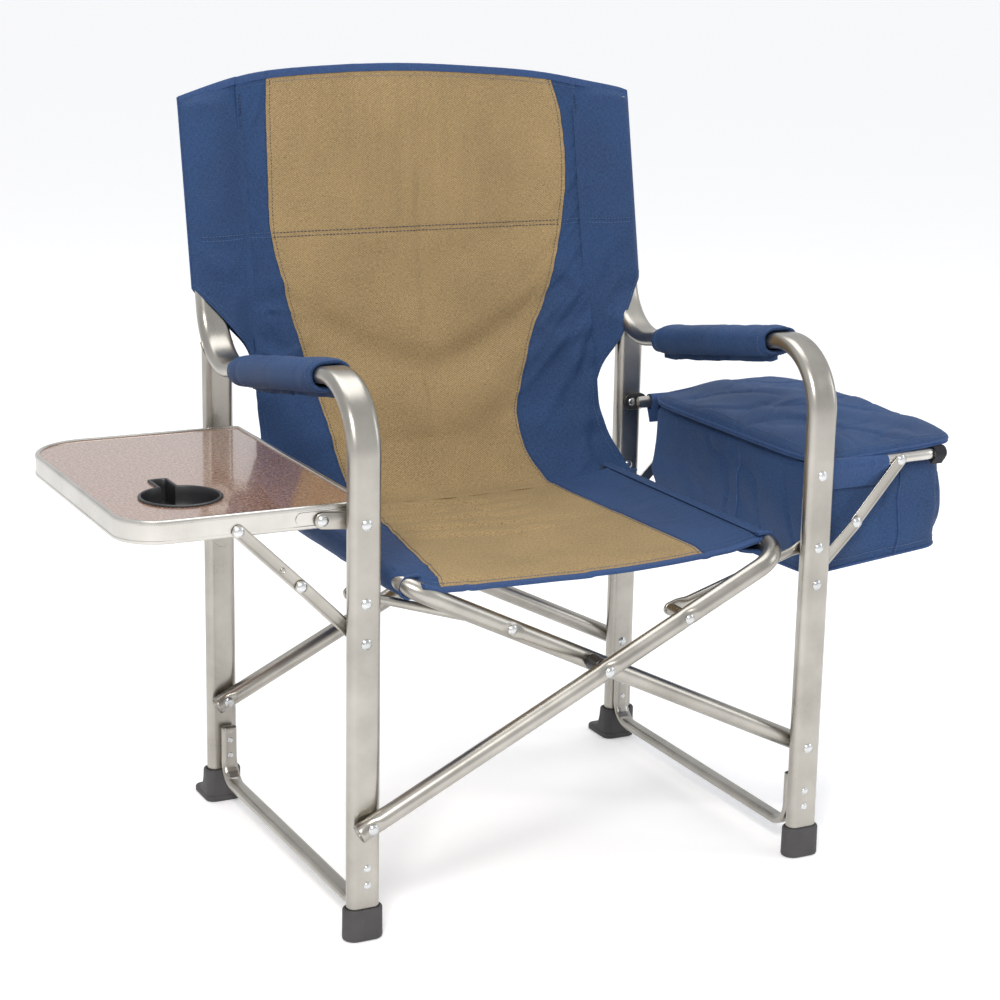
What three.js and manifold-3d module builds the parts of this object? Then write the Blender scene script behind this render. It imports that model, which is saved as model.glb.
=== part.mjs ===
// Folding director chair with a side table on one arm and a soft cooler on the other.
// Millimetres, +Z up. The sitter faces -Y. The table hangs on the -X side, the cooler on +X.
// Everything is laid out from the middle of the four legs, with the floor at z = 0.
import * as THREE from 'three';
import { mergeVertices } from 'three/addons/utils/BufferGeometryUtils.js';
import Module from 'manifold-3d';

const wasm = await Module();
wasm.setup();

// ---------------------------------------------------------------- driving dimensions
const GAP = 0.3; // clearance kept between separate pieces
const LEG_X = 288; // side frame centre from the middle of the chair
const LEG_Y = 227; // leg centres, front and rear
const TUBE = { width: 38, thick: 19, wall: 1.5 }; // flat-oval frame tube
const ARM_SLOPE = 9.3; // degrees, the arm drops towards the back
const ARM_Z = 614.6; // arm centreline height above the point below
const ARM_Y = -119.5;
const BACK_SLOPE = 11.1; // degrees, the upright leans back
const BACK_Y = 247; // a point on the upright's centreline
const BACK_Z = 638.6;
const BACK_TOP = 868; // top end of the upright tube
const FRAME_BEND = 74; // centreline radius of both frame bends
const FOOT_FLOOR = 4; // rubber under the end of a leg
const FOOT_WALL = 4;
const FRONT_FOOT_HIGH = 37;
const REAR_FOOT_HIGH = 42;
const FOOT_TOE = 36; // reach of the rear foot's toe behind the leg

const BAR = { d: 22, wall: 1.5 }; // round cross bar tube
const BAR_PIVOT_Z = 138; // lower pivot on the legs
const BAR_CENTRE_Z = 279; // where the two bars cross
const RAIL_X = 232; // seat rails
const BAR_BEND = 40;
const BAR_TIP = 15; // bar end beyond its lower pivot
const BAR_SPACE = TUBE.thick / 2 + BAR.d / 2 + 0.7; // bar centre to leg centre
const BAR_A_Y = -BAR_SPACE; // bar A runs in front of the table-side legs
const BAR_B_Y = BAR_SPACE; // bar B runs behind the cooler-side legs

const LINK_LEG_Z = 387; // upper link pivot on the leg
const LINK_BAR_X = 102; // upper link pivot on the bar
const LINK = { wide: 16, thick: 5, tableOffset: 24, coolerOffset: 2.1 }; // offsets behind the leg
const BOSS_R = 7; // spacer boss on a link
const PIN_R = 3;
const HOLE_R = PIN_R + 0.6;
const HEAD_R = 6.5;
const HEAD_HIGH = 2.2;
const RIVET_SIDES = 8;
const SPACER_R = 6;
const CROSSING_R = 11; // spacer between the bars where they cross

const BRACE = { wide: 20, thick: 12, top: 100, run: 30, bend: 32, inset: 4 };

const ARM_HARDWARE_Z = 474; // bracket rivet that carries table and cooler
const STRUT_LEG_Z = 342; // lower strut pivot on the leg
const STRUT = { wide: 15, thick: 2 };
const STRUT_OUTER_Y = LEG_Y - TUBE.thick / 2 - 0.4; // outer face of the lower strut
const STRUT_INNER_Y = STRUT_OUTER_Y - STRUT.thick - 0.4; // outer face of the upper strut

const TABLE = {
  inner: -276, outer: -545, front: -(STRUT_INNER_Y - STRUT.thick - 0.4), rear: 186,
  low: 469, high: 494, lip: 6, frontCorner: 48, rearCorner: 74, innerCorner: 10, panelDrop: 1.5,
  hingeX: -330, hingeZ: 478, tieX: -423, tieZ: 475, kneeX: -354, kneeZ: 408,
};
const CUP = { x: -453, y: -117, lipR: 45.5, boreR: 41.5, depth: 41, wall: 1.8, slotWide: 16, slotReach: 76 };

const COOLER = {
  hingeX: 300, tubeD: 14, tubeY: 205, outer: 490, rise: 0.03, bend: 35,
  tieX: 415, kneeX: 354, kneeZ: 407,
  bagInner: 311, bagOuter: 497, bagY: 199, bagLow: 350, bagHigh: 464, bagWall: 4,
  neckOuter: 480, neckY: 196, neckHigh: 471, lidLow: 472.5, lidRise: 17, lidThick: 6, lidCrown: 20,
};

const CLOTH = 3; // drawn thickness of the fabric pieces
const SEAT = { front: -212, rear: 165, half: 243, sag: 14, railSpan: 215 };
const SLEEVE = { inner: 228, outer: 309, thick: 25, low: 640, top: 880 };
const ARM_PAD = { wide: 48, thick: 34, front: -168, rear: 118 };

// ---------------------------------------------------------------- materials
const finish = (colour, roughness, metalness = 0) =>
  new THREE.MeshStandardMaterial({ color: colour, roughness, metalness });
const METAL = finish(0xbeb9ac, 0.35, 0.9);
const ZINC = finish(0xd6d8d6, 0.25, 1);
const RUBBER = finish(0x5a5555, 0.8);
const BLACK = finish(0x17171a, 0.45);
const NAVY = finish(0x2d4878, 0.9);
const TAN = finish(0xaf9464, 0.9);
const LAMINATE = finish(0x9b7364, 0.25);

// ---------------------------------------------------------------- shapes
const rad = THREE.MathUtils.degToRad;
const vec = (x, y, z) => new THREE.Vector3(x, y, z);

// A flat oval, its width along the shape's x axis.
function oval(width, thick) {
  const r = thick / 2;
  const flat = width / 2 - r;
  const shape = new THREE.Shape();
  if (flat < 0.01) return shape.absarc(0, 0, r, 0, 2 * Math.PI, false);
  shape.moveTo(-flat, -r);
  shape.lineTo(flat, -r);
  shape.absarc(flat, 0, r, -Math.PI / 2, Math.PI / 2, false);
  shape.lineTo(-flat, r);
  shape.absarc(-flat, 0, r, Math.PI / 2, 1.5 * Math.PI, false);
  return shape;
}

function tubeSection(width, thick, wall) {
  const shape = oval(width, thick);
  shape.holes.push(oval(width - 2 * wall, thick - 2 * wall));
  return shape;
}

// A rectangle with its own radius at the low-x and the high-x corners.
function rounded(x0, x1, y0, y1, lowR, highR) {
  const shape = new THREE.Shape();
  shape.moveTo(x0 + lowR, y0);
  shape.absarc(x1 - highR, y0 + highR, highR, -Math.PI / 2, 0, false);
  shape.absarc(x1 - highR, y1 - highR, highR, 0, Math.PI / 2, false);
  shape.absarc(x0 + lowR, y1 - lowR, lowR, Math.PI / 2, Math.PI, false);
  shape.absarc(x0 + lowR, y0 + lowR, lowR, Math.PI, 1.5 * Math.PI, false);
  return shape;
}

// A bent tube's centreline: straight runs have no points between their ends.
class Route extends THREE.Curve {
  constructor(stations) {
    super();
    this.stations = stations;
    this.flat = stations.every((point) => Math.abs(point.x - stations[0].x) < 1e-9);
  }
  index(t) {
    return Math.round(t * (this.stations.length - 1));
  }
  getPoint(t, target = new THREE.Vector3()) {
    return target.copy(this.stations[this.index(t)]);
  }
  getPointAt(u, target) {
    return this.getPoint(u, target);
  }
  getTangentAt(u, target = new THREE.Vector3()) {
    const i = this.index(u);
    const here = this.stations[i];
    target.set(0, 0, 0);
    if (i > 0) target.add(here.clone().sub(this.stations[i - 1]).normalize());
    if (i < this.stations.length - 1) target.add(this.stations[i + 1].clone().sub(here).normalize());
    return target.normalize();
  }
  // A route in one Y-Z plane keeps the section's width along X.
  computeFrenetFrames(segments, closed) {
    if (!this.flat) return super.computeFrenetFrames(segments, closed);
    const tangents = [];
    for (let i = 0; i <= segments; i++) tangents.push(this.getTangentAt(i / segments));
    const normals = tangents.map(() => vec(1, 0, 0));
    return { tangents, normals, binormals: tangents.map((t) => t.clone().cross(normals[0])) };
  }
}

// Corners joined by straight runs, each corner rounded to the given radius.
function bentRoute(corners, radius, stepDegrees = 18) {
  const stations = [corners[0]];
  for (let i = 1; i < corners.length - 1; i++) {
    const along = corners[i].clone().sub(corners[i - 1]).normalize();
    const away = corners[i + 1].clone().sub(corners[i]).normalize();
    const turn = along.angleTo(away);
    const inward = away.clone().addScaledVector(along, -along.dot(away)).normalize();
    const start = corners[i].clone().addScaledVector(along, -radius * Math.tan(turn / 2));
    const centre = start.clone().addScaledVector(inward, radius);
    const steps = Math.ceil(turn / rad(stepDegrees));
    for (let k = 0; k <= steps; k++) {
      const angle = (turn * k) / steps;
      stations.push(centre.clone()
        .addScaledVector(inward, -radius * Math.cos(angle))
        .addScaledVector(along, radius * Math.sin(angle)));
    }
  }
  stations.push(corners[corners.length - 1]);
  return new Route(stations);
}

function sweep(section, route, arcSteps = 5) {
  return new THREE.ExtrudeGeometry(section, {
    steps: route.stations.length - 1, curveSegments: arcSteps, bevelEnabled: false, extrudePath: route,
  });
}

// An outline in X and Y raised from z0 to z1.
function slab(outline, z0, z1, arcSteps = 5) {
  const geometry = new THREE.ExtrudeGeometry(outline, {
    depth: z1 - z0, curveSegments: arcSteps, bevelEnabled: false,
  });
  return geometry.translate(0, 0, z0);
}

// A stadium-shaped strap between two points of the X-Z plane, from yFront to yBack.
function strap(ax, az, bx, bz, wide, yFront, yBack) {
  const long = Math.hypot(bx - ax, bz - az);
  const shape = rounded(-wide / 2, long + wide / 2, -wide / 2, wide / 2, wide / 2 - 0.01, wide / 2 - 0.01);
  const geometry = new THREE.ExtrudeGeometry(shape, {
    depth: yBack - yFront, curveSegments: 3, bevelEnabled: false,
  });
  geometry.rotateX(Math.PI / 2);
  geometry.rotateY(-Math.atan2(bz - az, bx - ax));
  return geometry.translate(ax, yBack, az);
}

const rod = (x, z, y0, y1, r, sides = 6) =>
  new THREE.CylinderGeometry(r, r, y1 - y0, sides).translate(x, (y0 + y1) / 2, z);

// A rivet along Y with a low domed head at each end that is asked for.
function rivet(x, z, y0, y1, headFront = true, headBack = true) {
  const crownR = HEAD_R * 0.65;
  const front = headFront ? [[0, y0 - HEAD_HIGH], [crownR, y0 - HEAD_HIGH], [HEAD_R, y0]] : [[0, y0]];
  const back = headBack ? [[HEAD_R, y1], [crownR, y1 + HEAD_HIGH], [0, y1 + HEAD_HIGH]] : [[0, y1]];
  const profile = [...front, [PIN_R, y0], [PIN_R, y1], ...back];
  const points = profile.map(([r, y]) => new THREE.Vector2(r, y));
  return new THREE.LatheGeometry(points, RIVET_SIDES).translate(x, 0, z);
}

// A box whose points are moved by place(u, v, w), each from 0 to 1: the flat fabric pieces.
function warped(countU, countV, place) {
  const geometry = new THREE.BoxGeometry(1, 1, 1, countU, countV, 1);
  const position = geometry.attributes.position;
  for (let i = 0; i < position.count; i++) {
    const moved = place(position.getX(i) + 0.5, position.getY(i) + 0.5, position.getZ(i) + 0.5);
    position.setXYZ(i, moved.x, moved.y, moved.z);
  }
  return geometry;
}

// ---------------------------------------------------------------- booleans
function welded(geometry) {
  const bare = geometry.clone();
  for (const name of Object.keys(bare.attributes)) {
    if (name !== 'position') bare.deleteAttribute(name);
  }
  return mergeVertices(bare, 1e-4);
}

function solid(geometry) {
  const shared = welded(geometry);
  return new wasm.Manifold(new wasm.Mesh({
    numProp: 3,
    vertProperties: new Float32Array(shared.attributes.position.array),
    triVerts: new Uint32Array(shared.index.array),
  }));
}

function geometryOf(body) {
  const mesh = body.getMesh();
  const geometry = new THREE.BufferGeometry();
  geometry.setAttribute('position', new THREE.BufferAttribute(mesh.vertProperties, 3));
  geometry.setIndex(new THREE.BufferAttribute(mesh.triVerts, 1));
  geometry.computeVertexNormals();
  return geometry;
}

const joined = (...geometries) => geometries.map(solid).reduce((all, next) => all.add(next));
const cut = (body, ...tools) => tools.map(solid).reduce((left, tool) => left.subtract(tool), body);

// ---------------------------------------------------------------- scene graph
const chair = new THREE.Group();
chair.name = 'director_chair';

function piece(parent, name, shape, material) {
  const geometry = shape.isBufferGeometry ? shape : geometryOf(shape);
  const mesh = new THREE.Mesh(geometry, material);
  mesh.name = name;
  parent.add(mesh);
}

function placed(parent, x, y, z) {
  const group = new THREE.Group();
  group.position.set(x, y, z);
  parent.add(group);
  return group;
}

// ---------------------------------------------------------------- side frames
const armZ = (y) => ARM_Z - (y - ARM_Y) * Math.tan(rad(ARM_SLOPE));
const backY = (z) => BACK_Y + (z - BACK_Z) * Math.tan(rad(BACK_SLOPE));

// The corner between arm and upright, where their centrelines meet.
function backCorner() {
  const slope = Math.tan(rad(ARM_SLOPE));
  const lean = Math.tan(rad(BACK_SLOPE));
  const z = (armZ(BACK_Y) + slope * lean * BACK_Z) / (1 + slope * lean);
  return vec(0, backY(z), z);
}

const frameRoute = bentRoute([
  vec(0, -LEG_Y, FOOT_FLOOR),
  vec(0, -LEG_Y, armZ(-LEG_Y)),
  backCorner(),
  vec(0, backY(BACK_TOP), BACK_TOP),
], FRAME_BEND, 20);

// Holes through a leg at the given heights, along Y.
const legHoles = (y, heights) =>
  heights.map((z) => rod(0, z, y - TUBE.thick, y + TUBE.thick, HOLE_R));

const LEG_HOLES = [BAR_PIVOT_Z, STRUT_LEG_Z, LINK_LEG_Z, ARM_HARDWARE_Z];

function armFrame() {
  const tube = sweep(tubeSection(TUBE.width, TUBE.thick, TUBE.wall), frameRoute, 3);
  return cut(solid(tube), ...legHoles(-LEG_Y, LEG_HOLES));
}

// The rear leg's top end is shaped to the underside of the arm's rear bend.
function rearLeg() {
  const route = new Route([vec(0, LEG_Y, FOOT_FLOOR), vec(0, LEG_Y, backCorner().z + FRAME_BEND)]);
  const leg = sweep(tubeSection(TUBE.width, TUBE.thick, TUBE.wall), route, 3);
  const bend = sweep(oval(TUBE.width + 60, TUBE.thick + 2 * GAP), frameRoute, 1);
  const above = slab(rounded(-60, 60, 100, 300, 1, 1), backCorner().z + 40, 900, 1);
  const pieces = cut(solid(leg), bend, above, ...legHoles(LEG_Y, LEG_HOLES)).decompose();
  return pieces.sort((a, b) => a.boundingBox().min[2] - b.boundingBox().min[2])[0];
}

function legCavity(y) {
  const route = new Route([vec(0, y, FOOT_FLOOR - GAP), vec(0, y, 200)]);
  return sweep(oval(TUBE.width + 2 * GAP, TUBE.thick + 2 * GAP), route, 3);
}

function frontFoot() {
  const route = new Route([vec(0, -LEG_Y, 0), vec(0, -LEG_Y, FRONT_FOOT_HIGH)]);
  const cap = sweep(oval(TUBE.width + 2 * FOOT_WALL, TUBE.thick + 2 * FOOT_WALL), route, 4);
  return cut(solid(cap), legCavity(-LEG_Y));
}

// A boot with a toe that lies flat on the ground behind the leg.
function rearFoot() {
  const halfX = TUBE.width / 2 + FOOT_WALL;
  const front = LEG_Y - TUBE.thick / 2 - FOOT_WALL;
  const heel = LEG_Y + TUBE.thick / 2 + FOOT_WALL;
  const toe = LEG_Y + TUBE.thick / 2 + FOOT_TOE;
  const side = new THREE.Shape();
  side.moveTo(front, 0);
  side.lineTo(toe, 0);
  side.lineTo(toe, 6);
  side.lineTo(toe - 12, 9);
  side.quadraticCurveTo(heel + 6, 14, heel, REAR_FOOT_HIGH);
  side.lineTo(front, REAR_FOOT_HIGH);
  const profile = new THREE.ExtrudeGeometry(side, { depth: 2 * halfX, curveSegments: 4, bevelEnabled: false });
  profile.applyMatrix4(new THREE.Matrix4().makeBasis(vec(0, 1, 0), vec(0, 0, 1), vec(1, 0, 0)));
  profile.translate(-halfX, 0, 0);
  const plan = slab(rounded(-halfX, halfX, front, toe, 11, 11), -1, REAR_FOOT_HIGH + 1, 3);
  return cut(solid(profile).intersect(solid(plan)), legCavity(LEG_Y));
}

// The flat tube that ties the feet of one side together, riveted between the legs.
function lowerBrace(inward) {
  const y = LEG_Y - TUBE.thick / 2 - 0.5 - BRACE.thick / 2;
  const x = inward * BRACE.inset;
  const route = bentRoute([
    vec(x, -y, BRACE.top), vec(x, -y, BRACE.run), vec(x, y, BRACE.run), vec(x, y, BRACE.top),
  ], BRACE.bend, 30);
  return sweep(tubeSection(BRACE.wide, BRACE.thick, 1.2), route, 2);
}

// Bracket plate with its leg rivet and the hinge bolt of the table or the cooler.
// The table's bolt has its head outside; the cooler's is behind the leg, so its head is inside.
// A spacer fills what is left between the plate and the piece it carries.
function hingeBracket(hingeX, hingeZ, wide, thick, boltLong, headOutside, spacer, back) {
  const outer = STRUT_OUTER_Y;
  const through = LEG_Y + TUBE.thick / 2 + GAP;
  const plate = strap(0, ARM_HARDWARE_Z, hingeX, hingeZ, wide, -outer, -outer + thick);
  const legRivet = rivet(0, ARM_HARDWARE_Z, -through, -outer + thick, true, false);
  const bolt = rivet(hingeX, hingeZ, -outer, -outer + thick + spacer + boltLong, headOutside, !headOutside);
  const sleeve = rod(hingeX, hingeZ, -outer + thick / 2, -outer + thick + Math.max(spacer, 0.1), SPACER_R, 10);
  const bracket = joined(plate, legRivet, bolt, sleeve);
  return back ? bracket.mirror([0, 1, 0]) : bracket;
}

// The cloth sleeve that slips down over an upright.
function backSleeve(side) {
  const middle = side * ((SLEEVE.inner + SLEEVE.outer) / 2 - LEG_X);
  const line = (x, low, high) => new Route([vec(x, backY(low), low), vec(x, backY(high), high)]);
  const outer = sweep(oval(SLEEVE.outer - SLEEVE.inner, SLEEVE.thick), line(middle, SLEEVE.low, SLEEVE.top), 4);
  const pocket = sweep(oval(TUBE.width + 4 * GAP, TUBE.thick + 4 * GAP), line(0, SLEEVE.low - 20, BACK_TOP + 2), 4);
  return cut(solid(outer), pocket);
}

function armPad() {
  const line = (from, to) => new Route([vec(0, from, armZ(from)), vec(0, to, armZ(to))]);
  const outer = sweep(oval(ARM_PAD.wide, ARM_PAD.thick), line(-120, ARM_PAD.rear), 5);
  const inner = sweep(oval(TUBE.width + 4 * GAP, TUBE.thick + 4 * GAP), line(-200, 200), 5);
  return cut(solid(outer), inner);
}

function sideFrame(label, side) {
  const group = placed(chair, side * LEG_X, 0, 0);
  piece(group, `${label}_arm_frame`, armFrame(), METAL);
  piece(group, `${label}_rear_leg`, rearLeg(), METAL);
  piece(group, `${label}_lower_brace`, lowerBrace(-side), METAL);
  piece(group, `${label}_front_foot`, frontFoot(), RUBBER);
  piece(group, `${label}_rear_foot`, rearFoot(), RUBBER);
  piece(group, `${label}_arm_pad`, armPad(), NAVY);
  piece(group, `${label}_back_sleeve`, backSleeve(side), NAVY);
  return group;
}

const tableSide = sideFrame('table_side', -1);
const coolerSide = sideFrame('cooler_side', 1);

// The table stops short of the rear leg, so its rear bolts carry spacers.
const REAR_SPACER = -TABLE.front - TABLE.rear;

for (const back of [false, true]) {
  const end = back ? 'rear' : 'front';
  const spacer = back ? STRUT_OUTER_Y - STRUT.thick - TABLE.rear - GAP : 0;
  piece(tableSide, `table_side_${end}_bracket`,
    hingeBracket(TABLE.hingeX + LEG_X, TABLE.hingeZ, 18, STRUT.thick, TABLE.lip + 1, true, spacer, back), METAL);
  piece(coolerSide, `cooler_side_${end}_bracket`,
    hingeBracket(COOLER.hingeX - LEG_X, ARM_HARDWARE_Z, 22, 4, COOLER.tubeD + 3, false, 0, back), BLACK);
}

// ---------------------------------------------------------------- cross bars
const barSlope = (BAR_CENTRE_Z - BAR_PIVOT_Z) / LEG_X;
const barZ = (x) => BAR_CENTRE_Z + x * barSlope;
const barAY = (end) => end * LEG_Y + BAR_A_Y;
const barBY = (end) => end * LEG_Y + BAR_B_Y;
const tipX = LEG_X + BAR_TIP * Math.cos(Math.atan(barSlope));

// Each bar is one tube: front diagonal, seat rail, rear diagonal.
function crossBar(corners, holes) {
  const tube = sweep(tubeSection(BAR.d, BAR.d, BAR.wall), bentRoute(corners, BAR_BEND, 25), 8);
  return cut(solid(tube), ...holes.map(([x, y, z]) => rod(x, z, y - BAR.d, y + BAR.d, HOLE_R)));
}

const holesA = [];
const holesB = [];
for (const end of [-1, 1]) {
  for (const x of [-LEG_X, 0, LINK_BAR_X]) holesA.push([x, barAY(end), barZ(x)]);
  for (const x of [LEG_X, 0, -LINK_BAR_X]) holesB.push([x, barBY(end), barZ(-x)]);
}

piece(chair, 'cross_bar_a', crossBar([
  vec(-tipX, barAY(-1), barZ(-tipX)), vec(RAIL_X, barAY(-1), barZ(RAIL_X)),
  vec(RAIL_X, barAY(1), barZ(RAIL_X)), vec(-tipX, barAY(1), barZ(-tipX)),
], holesA), METAL);

piece(chair, 'cross_bar_b', crossBar([
  vec(tipX, barBY(-1), barZ(-tipX)), vec(-RAIL_X, barBY(-1), barZ(RAIL_X)),
  vec(-RAIL_X, barBY(1), barZ(RAIL_X)), vec(tipX, barBY(1), barZ(-tipX)),
], holesB), METAL);

for (const end of [-1, 1]) {
  const name = end < 0 ? 'front' : 'rear';
  const barR = BAR.d / 2;
  const aFront = barAY(end) - barR;
  const aBack = barAY(end) + barR;
  const bFront = barBY(end) - barR;
  const bBack = barBY(end) + barR;
  const legFront = end * LEG_Y - TUBE.thick / 2;
  const legBack = end * LEG_Y + TUBE.thick / 2;

  // Lower pivots: bar A lies in front of the table-side leg, bar B behind the cooler-side leg.
  piece(chair, `table_side_${name}_pivot_pin`,
    rivet(-LEG_X, BAR_PIVOT_Z, aFront - GAP, legBack + GAP), ZINC);
  piece(chair, `cooler_side_${name}_pivot_pin`,
    rivet(LEG_X, BAR_PIVOT_Z, legFront - GAP, bBack + GAP), ZINC);

  // Crossing: a spacer between the bars and the bolt that holds them.
  const spacer = solid(rod(0, BAR_CENTRE_Z, aBack + GAP, bFront - GAP, CROSSING_R, 12));
  piece(chair, `${name}_crossing_spacer`,
    cut(spacer, rod(0, BAR_CENTRE_Z, aBack - 1, bFront + 1, HOLE_R)), BLACK);
  piece(chair, `${name}_crossing_bolt`,
    rivet(0, BAR_CENTRE_Z, aFront - GAP, bBack + GAP), ZINC);

  // Links from the legs to the opposite bar. A boss takes up the room between link and tube:
  // at the leg on the table side, at the bar on the cooler side.
  const barEndZ = barZ(LINK_BAR_X);
  for (const [label, side] of [['table_side', -1], ['cooler_side', 1]]) {
    const front = legBack + (side < 0 ? LINK.tableOffset : LINK.coolerOffset);
    const back = front + LINK.thick;
    const plate = strap(side * LEG_X, LINK_LEG_Z, side * LINK_BAR_X, barEndZ, LINK.wide, front, back);
    const boss = side < 0
      ? rod(-LEG_X, LINK_LEG_Z, legBack + GAP, front + 1, BOSS_R, 10)
      : rod(LINK_BAR_X, barEndZ, aBack + 2 * GAP, front + 1, BOSS_R, 10);
    const rivetEnd = rivet(side * LINK_BAR_X, barEndZ, front + 1, back, false, true);
    const pivotHole = rod(side * LEG_X, LINK_LEG_Z, legBack - 1, back + 1, HOLE_R);
    piece(chair, `${label}_${name}_link`, cut(joined(plate, boss, rivetEnd), pivotHole), METAL);
    piece(chair, `${label}_${name}_link_pin`,
      rivet(side * LEG_X, LINK_LEG_Z, legFront - GAP, back + GAP), ZINC);
    const [barFront, barBack] = side < 0 ? [bFront, bBack] : [aFront, aBack];
    piece(chair, `${label}_${name}_bar_rivet`,
      rivet(side * LINK_BAR_X, barEndZ, barFront - GAP, barBack - GAP, true, false), ZINC);
  }
}

// ---------------------------------------------------------------- folding struts
// The lower strut turns on the leg, the upper one on the table or the cooler frame.
function strutPair(label, side, knee, tie, rearSpacer) {
  for (const back of [false, true]) {
    const name = back ? 'rear' : 'front';
    const outer = STRUT_OUTER_Y;
    const inner = STRUT_INNER_Y;
    const legX = side * LEG_X;
    const through = LEG_Y + TUBE.thick / 2 + GAP;
    const lower = joined(
      strap(legX, STRUT_LEG_Z, knee[0], knee[1], STRUT.wide, -outer, -outer + STRUT.thick),
      rivet(legX, STRUT_LEG_Z, -through, -outer + STRUT.thick, true, false),
      rivet(knee[0], knee[1], -outer, -outer + STRUT.thick, true, false),
    );
    const spacer = back ? rearSpacer : 0;
    const upper = joined(
      strap(knee[0], knee[1], tie[0], tie[1], STRUT.wide, -inner, -inner + STRUT.thick),
      rivet(tie[0], tie[1], -inner, -inner + STRUT.thick, true, false),
      rod(tie[0], tie[1], -inner + STRUT.thick / 2, -inner + STRUT.thick + spacer, SPACER_R, 10),
    );
    const flip = (body) => (back ? body.mirror([0, 1, 0]) : body);
    piece(chair, `${label}_${name}_lower_strut`, flip(lower), METAL);
    piece(chair, `${label}_${name}_upper_strut`, flip(upper), METAL);
  }
}

strutPair('table', -1, [TABLE.kneeX, TABLE.kneeZ], [TABLE.tieX, TABLE.tieZ], REAR_SPACER);
const coolerTubeZ = (x) => ARM_HARDWARE_Z + (x - COOLER.hingeX) * COOLER.rise;
strutPair('cooler', 1, [COOLER.kneeX, COOLER.kneeZ], [COOLER.tieX, coolerTubeZ(COOLER.tieX)], 0);

// ---------------------------------------------------------------- side table
// The outboard corners are wide, the rear one the wider of the two.
function tableOutline(inset) {
  const [x0, x1] = [TABLE.outer + inset, TABLE.inner - inset];
  const [y0, y1] = [TABLE.front + inset, TABLE.rear - inset];
  const small = Math.max(TABLE.innerCorner - inset, 2);
  const front = TABLE.frontCorner - inset;
  const rear = TABLE.rearCorner - inset;
  const shape = new THREE.Shape();
  shape.moveTo(x0 + front, y0);
  shape.absarc(x1 - small, y0 + small, small, -Math.PI / 2, 0, false);
  shape.absarc(x1 - small, y1 - small, small, 0, Math.PI / 2, false);
  shape.absarc(x0 + rear, y1 - rear, rear, Math.PI / 2, Math.PI, false);
  shape.absarc(x0 + front, y0 + front, front, Math.PI, 1.5 * Math.PI, false);
  return shape;
}

function tableRim() {
  const wallRing = tableOutline(0);
  wallRing.holes.push(tableOutline(TABLE.lip));
  const ledgeRing = tableOutline(TABLE.lip - 1);
  ledgeRing.holes.push(tableOutline(TABLE.lip + 8));
  const rim = joined(slab(wallRing, TABLE.low, TABLE.high, 6), slab(ledgeRing, TABLE.low, TABLE.low + 3, 6));
  return cut(rim, rod(TABLE.hingeX, TABLE.hingeZ, -LEG_Y, LEG_Y, HOLE_R));
}

// The cup holder: a lipped cup with a slot for a mug handle towards the back.
const cupLipZ = TABLE.high - TABLE.panelDrop + GAP;
const slotShape = (grow) => rounded(
  CUP.x - CUP.slotWide / 2 - grow, CUP.x + CUP.slotWide / 2 + grow, CUP.y, CUP.y + CUP.slotReach + grow, 2, 2);

function cupOuter(grow, low) {
  const cone = new THREE.CylinderGeometry(CUP.boreR + CUP.wall + grow, 34 + CUP.wall + grow, cupLipZ - low, 16);
  cone.rotateX(Math.PI / 2).translate(CUP.x, CUP.y, (cupLipZ + low) / 2);
  return joined(cone, slab(slotShape(CUP.wall + grow), low + 14, cupLipZ, 1));
}

function cupHolder() {
  const low = TABLE.high - CUP.depth;
  const lip = new THREE.CylinderGeometry(CUP.lipR, CUP.lipR, 2, 16);
  lip.rotateX(Math.PI / 2).translate(CUP.x, CUP.y, cupLipZ + 1);
  const bore = new THREE.CylinderGeometry(CUP.boreR, 34, CUP.depth, 16);
  bore.rotateX(Math.PI / 2).translate(CUP.x, CUP.y, low + CUP.wall + CUP.depth / 2 + 1.5);
  const lipSlot = slab(slotShape(CUP.wall + 2), cupLipZ, cupLipZ + 2, 1);
  const slotBore = slab(slotShape(0), low + 14 + CUP.wall, cupLipZ + 5, 1);
  return cut(cupOuter(0, low).add(solid(lip)).add(solid(lipSlot)), bore, slotBore);
}

function tablePanel() {
  const sheet = slab(tableOutline(TABLE.lip + GAP), TABLE.low + 3 + GAP, TABLE.high - TABLE.panelDrop, 6);
  const space = cupOuter(GAP, TABLE.low - 40);
  const boltRoom = rod(TABLE.hingeX, TABLE.hingeZ, -LEG_Y, LEG_Y, PIN_R + 1);
  return cut(solid(sheet).subtract(space), boltRoom);
}

piece(chair, 'table_rim', tableRim(), METAL);
piece(chair, 'table_panel', tablePanel(), LAMINATE);
piece(chair, 'cup_holder', cupHolder(), BLACK);

// ---------------------------------------------------------------- cooler
function coolerFrame() {
  const inner = COOLER.hingeX - 7;
  const end = (x, y) => vec(x, y, coolerTubeZ(x));
  const route = bentRoute([
    end(inner, -COOLER.tubeY), end(COOLER.outer, -COOLER.tubeY),
    end(COOLER.outer, COOLER.tubeY), end(inner, COOLER.tubeY),
  ], COOLER.bend, 30);
  const tube = sweep(oval(COOLER.tubeD, COOLER.tubeD), route, 8);
  return cut(solid(tube), rod(COOLER.hingeX, ARM_HARDWARE_Z, -LEG_Y, LEG_Y, HOLE_R));
}

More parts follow.
